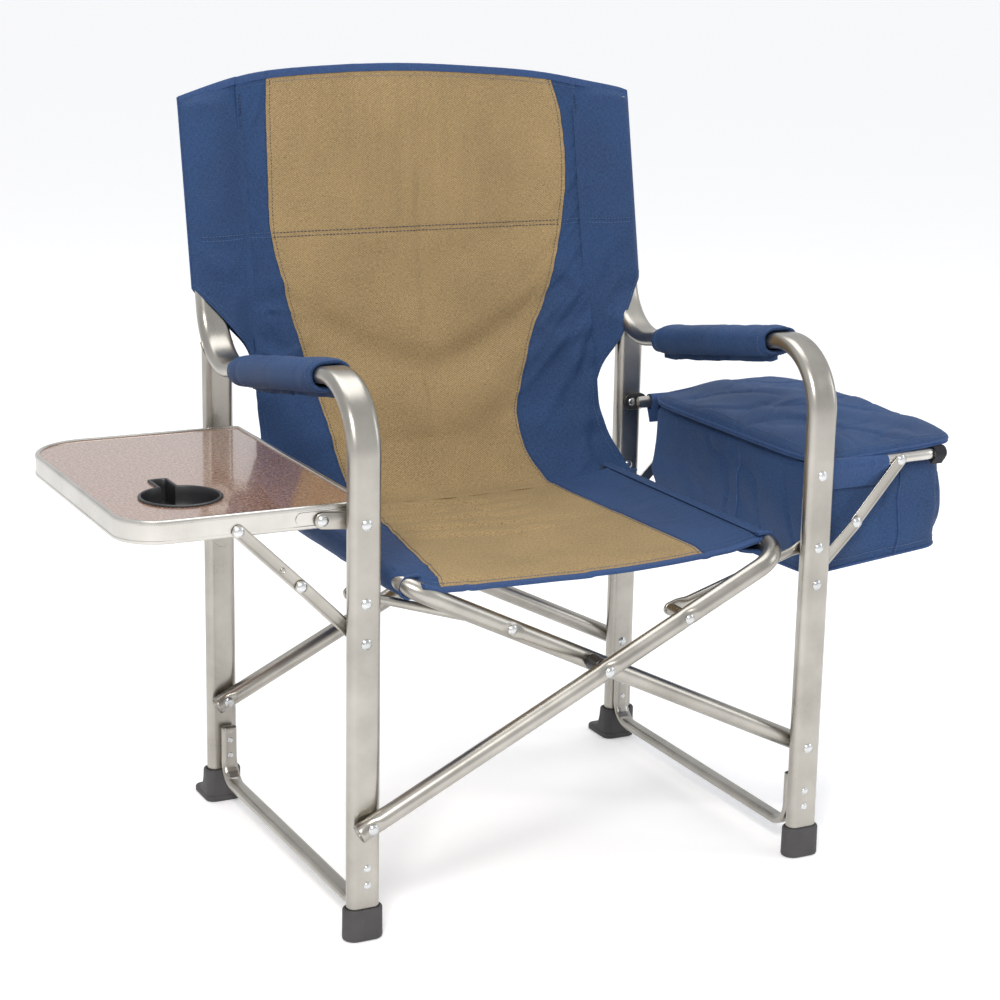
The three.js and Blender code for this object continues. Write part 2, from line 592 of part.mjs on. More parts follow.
function coolerBag() {
  const { bagInner, bagOuter, bagY, bagLow, bagHigh, bagWall, neckOuter, neckY, neckHigh } = COOLER;
  const main = slab(rounded(bagInner, bagOuter, -bagY, bagY, 22, 22), bagLow, bagHigh, 3);
  const neck = slab(rounded(bagInner, neckOuter, -neckY, neckY, 22, 22), bagHigh - 1, neckHigh, 3);
  const inside = slab(rounded(bagInner + bagWall, neckOuter - bagWall, -neckY + bagWall, neckY - bagWall, 18, 18),
    bagLow + bagWall, neckHigh + 5, 3);
  const ends = (x) => rod(x, ARM_HARDWARE_Z, -COOLER.tubeY - 8, -COOLER.tubeY + 8, 9.5, 12);
  return cut(joined(main, neck).subtract(solid(inside)), ends(COOLER.hingeX), ends(COOLER.hingeX)
    .translate(0, 2 * COOLER.tubeY, 0));
}

// A crowned lid that hinges along its outer edge.
function coolerLid() {
  const long = COOLER.bagOuter + 5 - (COOLER.bagInner - 4);
  return warped(4, 6, (u, v, w) => {
    const x = COOLER.bagInner - 4 + long * u;
    const y = (v - 0.5) * 2 * COOLER.neckY;
    const crown = COOLER.lidCrown * Math.sqrt(16 * u * (1 - u) * v * (1 - v));
    return vec(x, y, COOLER.lidLow + COOLER.lidRise * u + crown + COOLER.lidThick * w);
  });
}

piece(chair, 'cooler_frame', coolerFrame(), METAL);
piece(chair, 'cooler_bag', coolerBag(), NAVY);
piece(chair, 'cooler_lid', coolerLid(), NAVY);

// ---------------------------------------------------------------- seat and back cloth
const railTop = barZ(RAIL_X) + BAR.d / 2 + 2 * GAP;
const sagAt = (x) => SEAT.sag * Math.max(0, 1 - (x / SEAT.railSpan) ** 2);

// Spreads eight columns over a width so that the outer two stay level over the rails.
function across(u, half) {
  const k = Math.abs(2 * u - 1);
  const flatFrom = 0.75;
  const reach = k <= flatFrom
    ? (k / flatFrom) * SEAT.railSpan
    : THREE.MathUtils.mapLinear(k, flatFrom, 1, SEAT.railSpan, half);
  return Math.sign(u - 0.5) * reach;
}

function seatSling() {
  return warped(8, 2, (u, v, w) => {
    const x = across(u, SEAT.half);
    const y = SEAT.front + (SEAT.rear - SEAT.front) * v;
    return vec(x, y, railTop - sagAt(x) + CLOTH * w);
  });
}

// The back rises from the rear of the seat to a slightly arched top edge between the sleeves.
const backProfile = new THREE.CatmullRomCurve3([
  vec(0, SEAT.rear + 2 * GAP, railTop + 2.5), vec(0, 188, railTop + 10), vec(0, 207, 440),
  vec(0, 222, 510), vec(0, backY(640) + 2, 640), vec(0, backY(886), 886),
], false, 'centripetal');

function backPanel() {
  return warped(8, 9, (u, v, w) => {
    const spot = backProfile.getPoint(v);
    const along = backProfile.getTangent(v);
    const waist = THREE.MathUtils.smoothstep(spot.z, 545, 625);
    const half = THREE.MathUtils.lerp(238, SLEEVE.inner - 1, waist);
    const x = across(u, half);
    const low = 1 - THREE.MathUtils.smoothstep(spot.z, railTop, 470);
    const arch = 22 * v ** 8 * (1 - (x / half) ** 2);
    const out = CLOTH * (w - 0.5);
    return vec(x, spot.y - out * along.z, spot.z + arch - sagAt(x) * low + out * along.y);
  });
}

piece(chair, 'seat_sling', seatSling(), TAN);
piece(chair, 'back_panel', backPanel(), TAN);

// ---------------------------------------------------------------- origin
// The origin is the centre of the chair's footprint box, on the floor.
const extent = new THREE.Box3().setFromObject(chair, true);
const middle = extent.getCenter(new THREE.Vector3());
chair.position.set(-middle.x, -middle.y, -extent.min.z);

export default chair;
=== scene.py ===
"""Looks for the folding director chair with its side table and cooler.

Lengths are millimetres from the middle of the four legs, with the floor at z = 0.
The sitter faces -Y. The table hangs on the -X side and the cooler on the +X side.
"""

import math

import bmesh
import bpy
import numpy as np
from mathutils import Matrix, Vector
from mathutils.geometry import tessellate_polygon


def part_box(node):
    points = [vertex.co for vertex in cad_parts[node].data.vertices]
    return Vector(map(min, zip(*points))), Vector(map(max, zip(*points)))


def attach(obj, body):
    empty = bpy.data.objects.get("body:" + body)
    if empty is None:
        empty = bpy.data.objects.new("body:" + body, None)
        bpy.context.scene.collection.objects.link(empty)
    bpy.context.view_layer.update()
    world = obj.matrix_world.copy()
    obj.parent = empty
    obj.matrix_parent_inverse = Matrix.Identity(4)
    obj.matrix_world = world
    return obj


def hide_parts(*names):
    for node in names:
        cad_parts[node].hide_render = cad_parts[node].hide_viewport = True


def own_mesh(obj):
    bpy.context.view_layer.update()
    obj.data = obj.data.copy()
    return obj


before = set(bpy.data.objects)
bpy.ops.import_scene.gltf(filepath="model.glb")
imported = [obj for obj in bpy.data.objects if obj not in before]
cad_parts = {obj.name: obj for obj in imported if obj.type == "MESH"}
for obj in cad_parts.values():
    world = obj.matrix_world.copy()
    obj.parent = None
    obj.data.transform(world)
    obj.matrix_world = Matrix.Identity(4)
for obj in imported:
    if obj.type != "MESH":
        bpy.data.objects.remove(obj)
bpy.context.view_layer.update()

# ------------------------------------------------------------------ driving dimensions
MM = 0.001
LEG_X, LEG_Y = 288.0, 227.0
TUBE_W, TUBE_T = 38.0, 19.0
ARM_SLOPE, ARM_Z, ARM_Y = math.radians(9.3), 614.6, -119.5
BACK_SLOPE, BACK_Y, BACK_Z, BACK_TOP = math.radians(11.1), 247.0, 638.6, 868.0
FRAME_BEND = 74.0
BAR_D = 22.0
BAR_PIVOT_Z, BAR_CENTRE_Z, RAIL_X, BAR_BEND, BAR_TIP = 138.0, 279.0, 232.0, 40.0, 15.0
BAR_SPACE = TUBE_T / 2 + BAR_D / 2 + 0.7
LINK_LEG_Z, LINK_BAR_X = 387.0, 102.0
LINK_THICK, TABLE_LINK_OFFSET, COOLER_LINK_OFFSET = 5, 24, 2.1
HARDWARE_Z, STRUT_LEG_Z = 474.0, 342.0
STRUT_WIDE, STRUT_THICK, STRUT_CHANNEL = 15.0, 2.0, 0.5
STRUT_OUTER = LEG_Y - TUBE_T / 2 - 0.4
STRUT_INNER = STRUT_OUTER - STRUT_THICK - 0.4
TABLE_X0, TABLE_X1, TABLE_Y0, TABLE_Y1 = -545.0, -276.0, -212.3, 186.0
TABLE_HIGH = 494.0
TABLE_FRONT_CORNER, TABLE_REAR_CORNER = 48.0, 74.0
TABLE_HINGE, TABLE_TIE, TABLE_KNEE = (-330.0, 478.0), (-423.0, 475.0), (-354.0, 408.0)
CUP_X, CUP_Y, CUP_BORE, CUP_FLOOR = -453.0, -117.0, 41.5, 453.0
COOLER_HINGE_X, COOLER_TUBE, COOLER_Y, COOLER_OUTER = 300.0, 14.0, 205.0, 490.0
COOLER_TIE_X, COOLER_KNEE = 415.0, (354.0, 407.0)
COOLER_RISE, COOLER_BEND = 0.03, 35.0
BAG_X0, BAG_X1, BAG_Y = 300.0, 504.0, 200.0
BAG_LOW_INNER, BAG_LOW_OUTER, BAG_HIGH = 341.0, 361.0, 466.0

# The CAD frame's own origin, from the two front feet.
foot_boxes = [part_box("table_side_front_foot"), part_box("cooler_side_front_foot")]
mid_x = sum((lo.x + hi.x) / 4 for lo, hi in foot_boxes)
mid_y = sum((lo.y + hi.y) / 4 for lo, hi in foot_boxes) + LEG_Y * MM
ORIGIN = np.array([mid_x, mid_y, 0.0])

def place(points):
    return np.asarray(points, float) * MM + ORIGIN


def smooth(x, low, high):
    t = np.clip((np.asarray(x, float) - low) / (high - low), 0, 1)
    return t * t * (3 - 2 * t)


# ------------------------------------------------------------------ materials
# Bump distances in metres.
METAL_RELIEF, CLOTH_RELIEF, PLAIN_RELIEF, LAMINATE_RELIEF = 0.00006, 0.00035, 0.00015, 0.00018


def node_material(name, colour, rough, metal=0.0):
    """A material, its node tree and its shader."""
    mat = bpy.data.materials.new(name)
    mat.use_nodes = True
    tree = mat.node_tree
    shader = tree.nodes["Principled BSDF"]
    shader.inputs["Base Color"].default_value = (*colour, 1)
    shader.inputs["Roughness"].default_value = rough
    shader.inputs["Metallic"].default_value = metal
    return mat, tree, shader


def noise(tree, vector, scale, detail=3.0, rough=0.55):
    node = tree.nodes.new("ShaderNodeTexNoise")
    node.inputs["Scale"].default_value = scale
    node.inputs["Detail"].default_value = detail
    node.inputs["Roughness"].default_value = rough
    tree.links.new(vector, node.inputs["Vector"])
    return node.outputs["Fac"]


def ramp(tree, value, stops):
    node = tree.nodes.new("ShaderNodeValToRGB")
    elements = node.color_ramp.elements
    while len(elements) < len(stops):
        elements.new(0.5)
    for element, (at, colour) in zip(elements, stops):
        element.position = at
        element.color = colour if len(colour) == 4 else (*colour, 1)
    tree.links.new(value, node.inputs["Fac"])
    return node.outputs["Color"]


def remap(tree, value, low, high, from_low=0.0, from_high=1.0):
    node = tree.nodes.new("ShaderNodeMapRange")
    for key, number in (("From Min", from_low), ("From Max", from_high), ("To Min", low), ("To Max", high)):
        node.inputs[key].default_value = number
    tree.links.new(value, node.inputs["Value"])
    return node.outputs["Result"]


def math_node(tree, operation, a, b):
    node = tree.nodes.new("ShaderNodeMath")
    node.operation = operation
    for socket, value in zip(node.inputs, (a, b)):
        if isinstance(value, (int, float)):
            socket.default_value = value
        else:
            tree.links.new(value, socket)
    return node.outputs[0]


def mix_colour(tree, factor, a, b):
    node = tree.nodes.new("ShaderNodeMix")
    node.data_type = "RGBA"
    for socket, value in ((node.inputs["Factor"], factor), (node.inputs[6], a), (node.inputs[7], b)):
        if isinstance(value, (int, float)):
            socket.default_value = value
        elif isinstance(value, tuple):
            socket.default_value = (*value, 1)
        else:
            tree.links.new(value, socket)
    return node.outputs[2]


def bump(tree, shader, height, strength, distance):
    node = tree.nodes.new("ShaderNodeBump")
    node.inputs["Strength"].default_value = strength
    node.inputs["Distance"].default_value = distance
    tree.links.new(height, node.inputs["Height"])
    tree.links.new(node.outputs["Normal"], shader.inputs["Normal"])


def coordinates(tree, kind="Object"):
    return tree.nodes.new("ShaderNodeTexCoord").outputs[kind]


def metal_material(name, dark, light, rough_low, rough_high, speck=0.35):
    mat, tree, shader = node_material(name, light, rough_low, 1.0)
    where = coordinates(tree)
    broad = noise(tree, where, 14, 4)
    fine = noise(tree, where, 900, 2)
    colour = ramp(tree, broad, [(0.3, dark), (0.7, light)])
    tree.links.new(colour, shader.inputs["Base Color"])
    worn = math_node(tree, "MULTIPLY", broad, 0.7)
    blend = math_node(tree, "ADD", worn, math_node(tree, "MULTIPLY", fine, 0.3))
    tree.links.new(remap(tree, blend, rough_low, rough_high, 0.3, 0.7), shader.inputs["Roughness"])
    bump(tree, shader, fine, speck, METAL_RELIEF)
    return mat


def cloth_material(name, dark, light, pitch, rough, relief, sheen, twill=False):
    """Woven cloth. The pattern follows the sheet's own flat coordinates, in metres."""
    mat, tree, shader = node_material(name, light, rough)
    where = coordinates(tree, "UV")
    parts = tree.nodes.new("ShaderNodeSeparateXYZ")
    tree.links.new(where, parts.inputs[0])
    across = math_node(tree, "MULTIPLY", parts.outputs["X"], 2 * math.pi / pitch)
    along = math_node(tree, "MULTIPLY", parts.outputs["Y"], 2 * math.pi / pitch)
    if twill:
        along = math_node(tree, "ADD", along, math_node(tree, "MULTIPLY", across, 0.5))
    warp = math_node(tree, "SINE", across, 0)
    weft = math_node(tree, "SINE", along, 0)
    weave = remap(tree, math_node(tree, "MULTIPLY", warp, weft), 0.0, 1.0, -1.0, 1.0)
    # Slubs: thick and thin threads, drawn out along the warp and along the weft.
    slubs = []
    for stretch_x, stretch_y in ((1.0, 0.3), (0.3, 1.0)):
        drawn = tree.nodes.new("ShaderNodeVectorMath")
        drawn.operation = "MULTIPLY"
        drawn.inputs[1].default_value = (stretch_x, stretch_y, 1)
        tree.links.new(where, drawn.inputs[0])
        slubs.append(remap(tree, noise(tree, drawn.outputs[0], 820, 2, 0.6), 0, 1, 0.3, 0.7))
    slub = math_node(tree, "MULTIPLY", math_node(tree, "ADD", *slubs), 0.5)
    broad = remap(tree, noise(tree, where, 7, 4, 0.6), 0, 1, 0.2, 0.8)
    height = math_node(tree, "ADD", weave, math_node(tree, "MULTIPLY", slub, 0.5))
    threads = math_node(tree, "ADD", math_node(tree, "MULTIPLY", weave, 0.36),
                        math_node(tree, "MULTIPLY", slub, 0.30))
    tone = math_node(tree, "ADD", threads, math_node(tree, "MULTIPLY", broad, 0.14))
    colour = ramp(tree, tone, [(0.14, dark), (0.66, light)])
    tree.links.new(colour, shader.inputs["Base Color"])
    tree.links.new(remap(tree, broad, rough - 0.08, rough + 0.06, 0.3, 0.7), shader.inputs["Roughness"])
    shader.inputs["Sheen Weight"].default_value = sheen
    shader.inputs["Sheen Roughness"].default_value = 0.45
    shader.inputs["Sheen Tint"].default_value = (*[min(1.0, c * 2.5 + 0.12) for c in light], 1)
    shader.inputs["Specular IOR Level"].default_value = 0.25
    bump(tree, shader, height, relief, CLOTH_RELIEF)
    return mat


def plain_material(name, dark, light, low, high, scale, relief):
    mat, tree, shader = node_material(name, light, low)
    where = coordinates(tree)
    broad = noise(tree, where, 18, 4)
    grain = noise(tree, where, scale, 3)
    tree.links.new(ramp(tree, broad, [(0.3, dark), (0.7, light)]), shader.inputs["Base Color"])
    tree.links.new(remap(tree, grain, low, high, 0.3, 0.7), shader.inputs["Roughness"])
    bump(tree, shader, grain, relief, PLAIN_RELIEF)
    return mat


def laminate_material():
    mat, tree, shader = node_material("laminate_mottled", (0.31, 0.17, 0.12), 0.22)
    where = coordinates(tree)
    cells = tree.nodes.new("ShaderNodeTexVoronoi")
    cells.inputs["Scale"].default_value = 330
    tree.links.new(where, cells.inputs["Vector"])
    spots = noise(tree, where, 260, 4, 0.7)
    cloud = noise(tree, where, 30, 4, 0.6)
    tone = math_node(tree, "ADD", math_node(tree, "MULTIPLY", spots, 0.65),
                     math_node(tree, "MULTIPLY", cells.outputs["Distance"], 0.45))
    colour = ramp(tree, tone,
                  [(0.28, (0.075, 0.034, 0.022)), (0.5, (0.21, 0.105, 0.068)), (0.72, (0.40, 0.25, 0.18))])
    tree.links.new(mix_colour(tree, math_node(tree, "MULTIPLY", cloud, 0.35), colour, (0.27, 0.15, 0.10)),
                   shader.inputs["Base Color"])
    tree.links.new(remap(tree, spots, 0.20, 0.34, 0.3, 0.7), shader.inputs["Roughness"])
    shader.inputs["Coat Weight"].default_value = 1.0
    shader.inputs["Coat Roughness"].default_value = 0.07
    bump(tree, shader, tone, 0.25, LAMINATE_RELIEF)
    return mat


FRAME_METAL = metal_material("champagne_steel", (0.33, 0.312, 0.28), (0.47, 0.448, 0.405), 0.25, 0.36)
RIM_METAL = metal_material("table_rim_alloy", (0.50, 0.48, 0.44), (0.66, 0.64, 0.60), 0.24, 0.36, 0.25)
ZINC = metal_material("bright_zinc", (0.48, 0.49, 0.49), (0.66, 0.67, 0.67), 0.20, 0.34, 0.2)
RUBBER = plain_material("boot_rubber", (0.036, 0.034, 0.035), (0.064, 0.060, 0.061), 0.58, 0.76, 700, 0.5)
PLASTIC = plain_material("black_plastic", (0.010, 0.010, 0.011), (0.022, 0.022, 0.024), 0.30, 0.48, 1100,
                         0.35)
LAMINATE = laminate_material()
NAVY = cloth_material("navy_polyester", (0.0015, 0.006, 0.026), (0.036, 0.090, 0.225), 0.0015, 0.66, 0.9,
                      0.12)
TAN = cloth_material("tan_polyester", (0.075, 0.045, 0.016), (0.49, 0.350, 0.176), 0.0021, 0.84, 1.0, 0.06,
                     True)
BINDING = cloth_material("navy_binding", (0.010, 0.026, 0.085), (0.040, 0.090, 0.22), 0.0014, 0.66, 0.6, 0.15)
WEBBING = cloth_material("black_webbing", (0.006, 0.006, 0.008), (0.022, 0.022, 0.028), 0.0022, 0.7, 0.9, 0.1)
THREAD = plain_material("navy_thread", (0.010, 0.016, 0.04), (0.02, 0.035, 0.085), 0.5, 0.7, 900, 0.4)
PALE_THREAD = plain_material("seam_thread", (0.05, 0.08, 0.16), (0.09, 0.14, 0.26), 0.5, 0.7, 900, 0.4)


# ------------------------------------------------------------------ mesh building
class Part:
    """Collects surfaces in chair millimetres, then makes one object of them."""

    def __init__(self):
        self.points, self.uvs, self.faces, self.slots, self.count = [], [], [], [], 0

    def add(self, points, faces, slot=0, uv=None):
        points = np.asarray(points, float).reshape(-1, 3)
        if uv is None:
            uv = points[:, :2] * MM
        self.points.append(points)
        self.uvs.append(np.asarray(uv, float).reshape(-1, 2))
        self.faces += [tuple(int(i) + self.count for i in f) for f in faces]
        self.slots += [slot] * len(faces) if isinstance(slot, int) else list(slot)
        self.count += len(points)
        return self

    def loft(self, rings, slot=0, start_cap=False, end_cap=False, closed=True, around=False, uv=None):
        """Joins rings of equal length. closed wraps each ring, around joins the last ring to the first."""
        rings = np.asarray(rings, float)
        rows, cols = rings.shape[:2]
        faces = grid_faces(rows, cols, around, closed)
        if start_cap:
            faces.append(tuple(range(cols))[::-1])
        if end_cap:
            faces.append(tuple(range((rows - 1) * cols, rows * cols)))
        return self.add(rings.reshape(-1, 3), faces, slot, uv)

    def make(self, name, mats, body, replaces=(), slot=None, sharp=38, weld=False):
        mesh = bpy.data.meshes.new(name)
        points = place(np.concatenate(self.points))
        mesh.from_pydata(points.tolist(), [], self.faces)
        mesh.update()
        for mat in (mats if isinstance(mats, (list, tuple)) else [mats]):
            mesh.materials.append(mat)
        mesh.polygons.foreach_set("material_index", np.array(self.slots, np.int32))
        layer = mesh.uv_layers.new(name="flat")
        uv = np.concatenate(self.uvs)
        loops = np.zeros(len(mesh.loops), np.int32)
        mesh.loops.foreach_get("vertex_index", loops)
        layer.data.foreach_set("uv", uv[loops].astype(np.float32).ravel())
        work = bmesh.new()
        work.from_mesh(mesh)
        if weld:
            bmesh.ops.remove_doubles(work, verts=work.verts, dist=1e-6)
        bmesh.ops.recalc_face_normals(work, faces=work.faces)
        work.to_mesh(mesh)
        work.free()
        mesh.polygons.foreach_set("use_smooth", np.ones(len(mesh.polygons), bool))
        mesh.set_sharp_from_angle(angle=math.radians(sharp))
        obj = bpy.data.objects.new(name, mesh)
        bpy.context.scene.collection.objects.link(obj)
        if body:
            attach(obj, body)
        if replaces:
            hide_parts(*replaces)
        return obj


def run_along(points):
    """Distance along a line of points, from 0 at the first."""
    return np.concatenate([[0], np.cumsum(np.linalg.norm(np.diff(points, axis=0), axis=1))])


def closed(ring, extra=1):
    """A ring with its first points repeated at the end."""
    return np.vstack([ring, ring[:extra]])


def circle_xz(x, y, z, radius, angle):
    return np.stack([x + radius * np.cos(angle), np.full(len(angle), y), z + radius * np.sin(angle)], 1)


def corner_arcs(corners, steps):
    """Points on quarter circles given as centre x and y, radius and start angle in degrees."""
    out = []
    for cx, cy, r, start in corners:
        for k in range(steps + 1):
            a = math.radians(start + 90 * k / steps)
            out.append((cx + r * math.cos(a), cy + r * math.sin(a)))
    return out


def grid_faces(rows, cols, wrap_rows=False, wrap_cols=False):
    i = np.arange(rows if wrap_rows else rows - 1)
    j = np.arange(cols if wrap_cols else cols - 1)
    a, b = np.meshgrid(i, j, indexing="ij")
    a2, b2 = (a + 1) % rows, (b + 1) % cols
    quads = np.stack([a * cols + b, a * cols + b2, a2 * cols + b2, a2 * cols + b], -1).reshape(-1, 4)
    return [tuple(q) for q in quads.tolist()]


def bent(corners, radius, straight=8.0, step=5.0):
    """A path through the corners with rounded bends. Straight runs are divided too."""
    corners = [np.array(c, float) for c in corners]
    stops = [corners[0]]
    for i in range(1, len(corners) - 1):
        along = corners[i] - corners[i - 1]
        away = corners[i + 1] - corners[i]
        along, away = along / np.linalg.norm(along), away / np.linalg.norm(away)
        turn = math.acos(np.clip(along @ away, -1, 1))
        inward = away - along * (along @ away)
        inward /= np.linalg.norm(inward)
        start = corners[i] - along * radius * math.tan(turn / 2)
        centre = start + inward * radius
        steps = max(2, math.ceil(math.degrees(turn) / step))
        for k in range(steps + 1):
            angle = turn * k / steps
            stops.append(centre - inward * radius * math.cos(angle) + along * radius * math.sin(angle))
    stops.append(corners[-1])
    path = [stops[0]]
    for here in stops[1:]:
        gap = np.linalg.norm(here - path[-1])
        parts = max(1, int(gap // straight))
        start = path[-1]
        for k in range(1, parts + 1):
            path.append(start + (here - start) * k / parts)
    return np.array(path)


def oval_points(width, thick, arc=12, flat=4):
    """A flat-oval outline, its width along the first axis."""
    r = thick / 2
    half = max(0.0, width / 2 - r)
    out = []
    for k in range(arc + 1):
        a = -math.pi / 2 + math.pi * k / arc
        out.append((half + r * math.cos(a), r * math.sin(a)))
    if half > 0.01:
        out += [(half - 2 * half * k / flat, r) for k in range(1, flat)]
    for k in range(0 if half > 0.01 else 1, arc + (1 if half > 0.01 else 0)):
        a = math.pi / 2 + math.pi * k / arc
        out.append((-half + r * math.cos(a), r * math.sin(a)))
    if half > 0.01:
        out += [(-half + 2 * half * k / flat, -r) for k in range(1, flat)]
    return np.array(out)


def frames(path, across=None):
    """Unit tangents and two cross axes along a path."""
    tangent = np.gradient(path, axis=0)
    tangent /= np.linalg.norm(tangent, axis=1)[:, None]
    sides = np.zeros_like(path)
    if across is not None:
        sides[:] = across
        sides -= tangent * np.sum(sides * tangent, 1)[:, None]
        sides /= np.linalg.norm(sides, axis=1)[:, None]
    else:
        side = np.cross(tangent[0], [0.3, 1, 0.2])
        side /= np.linalg.norm(side)
        for i, t in enumerate(tangent):
            side = side - t * (side @ t)
            side /= np.linalg.norm(side)
            sides[i] = side
    return tangent, sides, np.cross(tangent, sides)


def tube_rings(path, width, thick, across=None, scale=None, arc=12):
    _, sides, ups = frames(path, across)
    section = oval_points(width, thick, arc)
    scale = np.ones((len(path), 2)) if scale is None else scale
    return (path[:, None, :] + sides[:, None, :] * section[None, :, :1] * scale[:, None, :1]
            + ups[:, None, :] * section[None, :, 1:] * scale[:, None, 1:])


def open_end(path, width, thick, across, wall, deep, at_start, arc, hem):
    """Rings from the bore's blind inner end out to the lip, for an open tube end."""
    tangent, sides, ups = frames(path, across)
    i = 0 if at_start else -1
    inward = tangent[i] * (1 if at_start else -1)
    side, up, centre = sides[i], ups[i], path[i]
    rings = []
    for shrink, depth in ((wall + hem, deep), (wall + hem, 0.9), (wall * 0.8 + hem, 0.25), (wall * 0.45, 0.0),
                          (0.35, 0.1), (0.0, 0.7)):
        section = oval_points(width - 2 * shrink, thick - 2 * shrink, arc)
        rings.append(centre + inward * depth + side * section[:, :1] + up * section[:, 1:])
    return rings if at_start else rings[::-1]


def tube(part, path, width, thick, across=None, wall=1.5, deep=28.0, open_ends=False,
         scale=None, arc=12, shape=None, hem=0.0):
    rings = tube_rings(path, width, thick, across, scale, arc)
    if shape is not None:
        rings = shape(rings)
    rings = list(rings)
    if open_ends:
        rings = (open_end(path, width, thick, across, wall, deep, True, arc, hem) + rings[1:-1]
                 + open_end(path, width, thick, across, wall, deep, False, arc, hem))
    part.loft(rings, 0, True, True)


ROUND_SIDES = 28


def rivet_head(part, x, z, y, facing, radius=6.0, high=2.2, slot=0):
    """A domed head with a thin flange, standing on the plane y and facing -Y or +Y."""
    profile = [(radius, -0.6), (radius, 0.25), (radius * 0.96, 0.5), (radius * 0.84, 0.7),
               (radius * 0.78, 1.15),
               (radius * 0.62, high * 0.82), (radius * 0.38, high * 0.96), (radius * 0.16, high),
               (radius * 0.03, high)]
    angle = np.arange(ROUND_SIDES) * 2 * math.pi / ROUND_SIDES
    part.loft([circle_xz(x, y + facing * h, z, r, angle) for r, h in profile], slot, True, True)


def collar(part, x, z, y0, y1, radius, slot=0, sides=ROUND_SIDES, edge=0.4):
    """A round spacer or boss along Y, with softened edges."""
    angle = np.arange(sides) * 2 * math.pi / sides
    profile = ((radius - edge, y0), (radius, y0 + edge), (radius, y1 - edge), (radius - edge, y1))
    part.loft([circle_xz(x, y, z, r, angle) for r, y in profile], slot, True, True)


def stadium(ax, az, bx, bz, wide, arc=12, straight=10):
    """A round-ended outline in X-Z from a to b."""
    a, b = np.array([ax, az]), np.array([bx, bz])
    u = (b - a) / np.linalg.norm(b - a)
    n = np.array([-u[1], u[0]])
    out = [b + wide / 2 * (math.cos(t) * u + math.sin(t) * n)
           for t in np.linspace(-math.pi / 2, math.pi / 2, arc + 1)]
    out += [b + (a - b) * k / straight + n * wide / 2 for k in range(1, straight)]
    out += [a + wide / 2 * (math.cos(t) * u + math.sin(t) * n)
            for t in np.linspace(math.pi / 2, 1.5 * math.pi, arc + 1)]
    out += [a + (b - a) * k / straight - n * wide / 2 for k in range(1, straight)]
    return np.array(out)


def strap(part, ax, az, bx, bz, wide, y0, y1, channel=0.0):
    """A flat strap with eased edges. channel presses a shallow groove along the side that faces y0."""
    def ring(inset, y):
        shrunk = stadium(ax, az, bx, bz, wide - 2 * inset)
        return np.stack([shrunk[:, 0], np.full(len(shrunk), y), shrunk[:, 1]], 1)
    thick = y1 - y0
    edge = min(0.5, abs(thick) * 0.25) * (1 if thick > 0 else -1)
    rings = [ring(abs(edge), y0), ring(0.1, y0 + edge * 0.5), ring(0, y0 + edge), ring(0, y1 - edge),
             ring(abs(edge), y1)]
    if channel:
        rings = [ring(wide * 0.33, y0 + math.copysign(channel, thick)),
                 ring(wide * 0.22, y0 + math.copysign(channel * 0.7, thick)),
                 ring(wide * 0.15, y0)] + rings
    part.loft(rings, 0, True, True)


# ------------------------------------------------------------------ side frames
def arm_z(y):
    return ARM_Z - (y - ARM_Y) * math.tan(ARM_SLOPE)


def back_y(z):
    return BACK_Y + (z - BACK_Z) * math.tan(BACK_SLOPE)


slope, lean = math.tan(ARM_SLOPE), math.tan(BACK_SLOPE)
CORNER_Z = (arm_z(BACK_Y) + slope * lean * BACK_Z) / (1 + slope * lean)
FRAME_PATH = bent([(0, -LEG_Y, 4), (0, -LEG_Y, arm_z(-LEG_Y)), (0, back_y(CORNER_Z), CORNER_Z),
                   (0, back_y(BACK_TOP), BACK_TOP)], FRAME_BEND, 12, 4)


def frame_gap(y, z):
    """Distance in the Y-Z plane from the arm frame's centreline."""
    spots = FRAME_PATH[:, 1:]
    a, b = spots[:-1], spots[1:]
    d = b - a
    t = np.clip(((np.array([y, z]) - a) * d).sum(1) / (d * d).sum(1), 0, 1)
    return np.linalg.norm(a + d * t[:, None] - [y, z], axis=1).min()


def saddle_top(x, y):
    """Where a vertical line through the rear leg's wall meets the rear bend of the arm frame."""
    r = TUBE_T / 2
    beyond = max(0.0, abs(x) - (TUBE_W / 2 - r))
    reach = math.sqrt(max(0.0, r * r - beyond * beyond))
    z = 470.0
    while z < 620 and frame_gap(y, z) > reach + 0.2:
        z += 0.5
    return z


RIVET_HEIGHTS = (BAR_PIVOT_Z, STRUT_LEG_Z, LINK_LEG_Z, HARDWARE_Z)


def press_round_rivets(x, y, reach=10.0, depth=0.5):
    """Slightly sinks the wide faces of the leg at x and y round its rivets."""
    def shape(rings):
        rings = rings.copy()
        for z in RIVET_HEIGHTS:
            near = np.hypot(rings[..., 0] - x, rings[..., 2] - z)
            sink = depth * (1 - smooth(near, reach * 0.35, reach))
            on_leg = np.abs(rings[..., 1] - y) <= TUBE_T
            rings[..., 1] -= np.sign(rings[..., 1] - y) * sink * on_leg
        return rings
    return shape


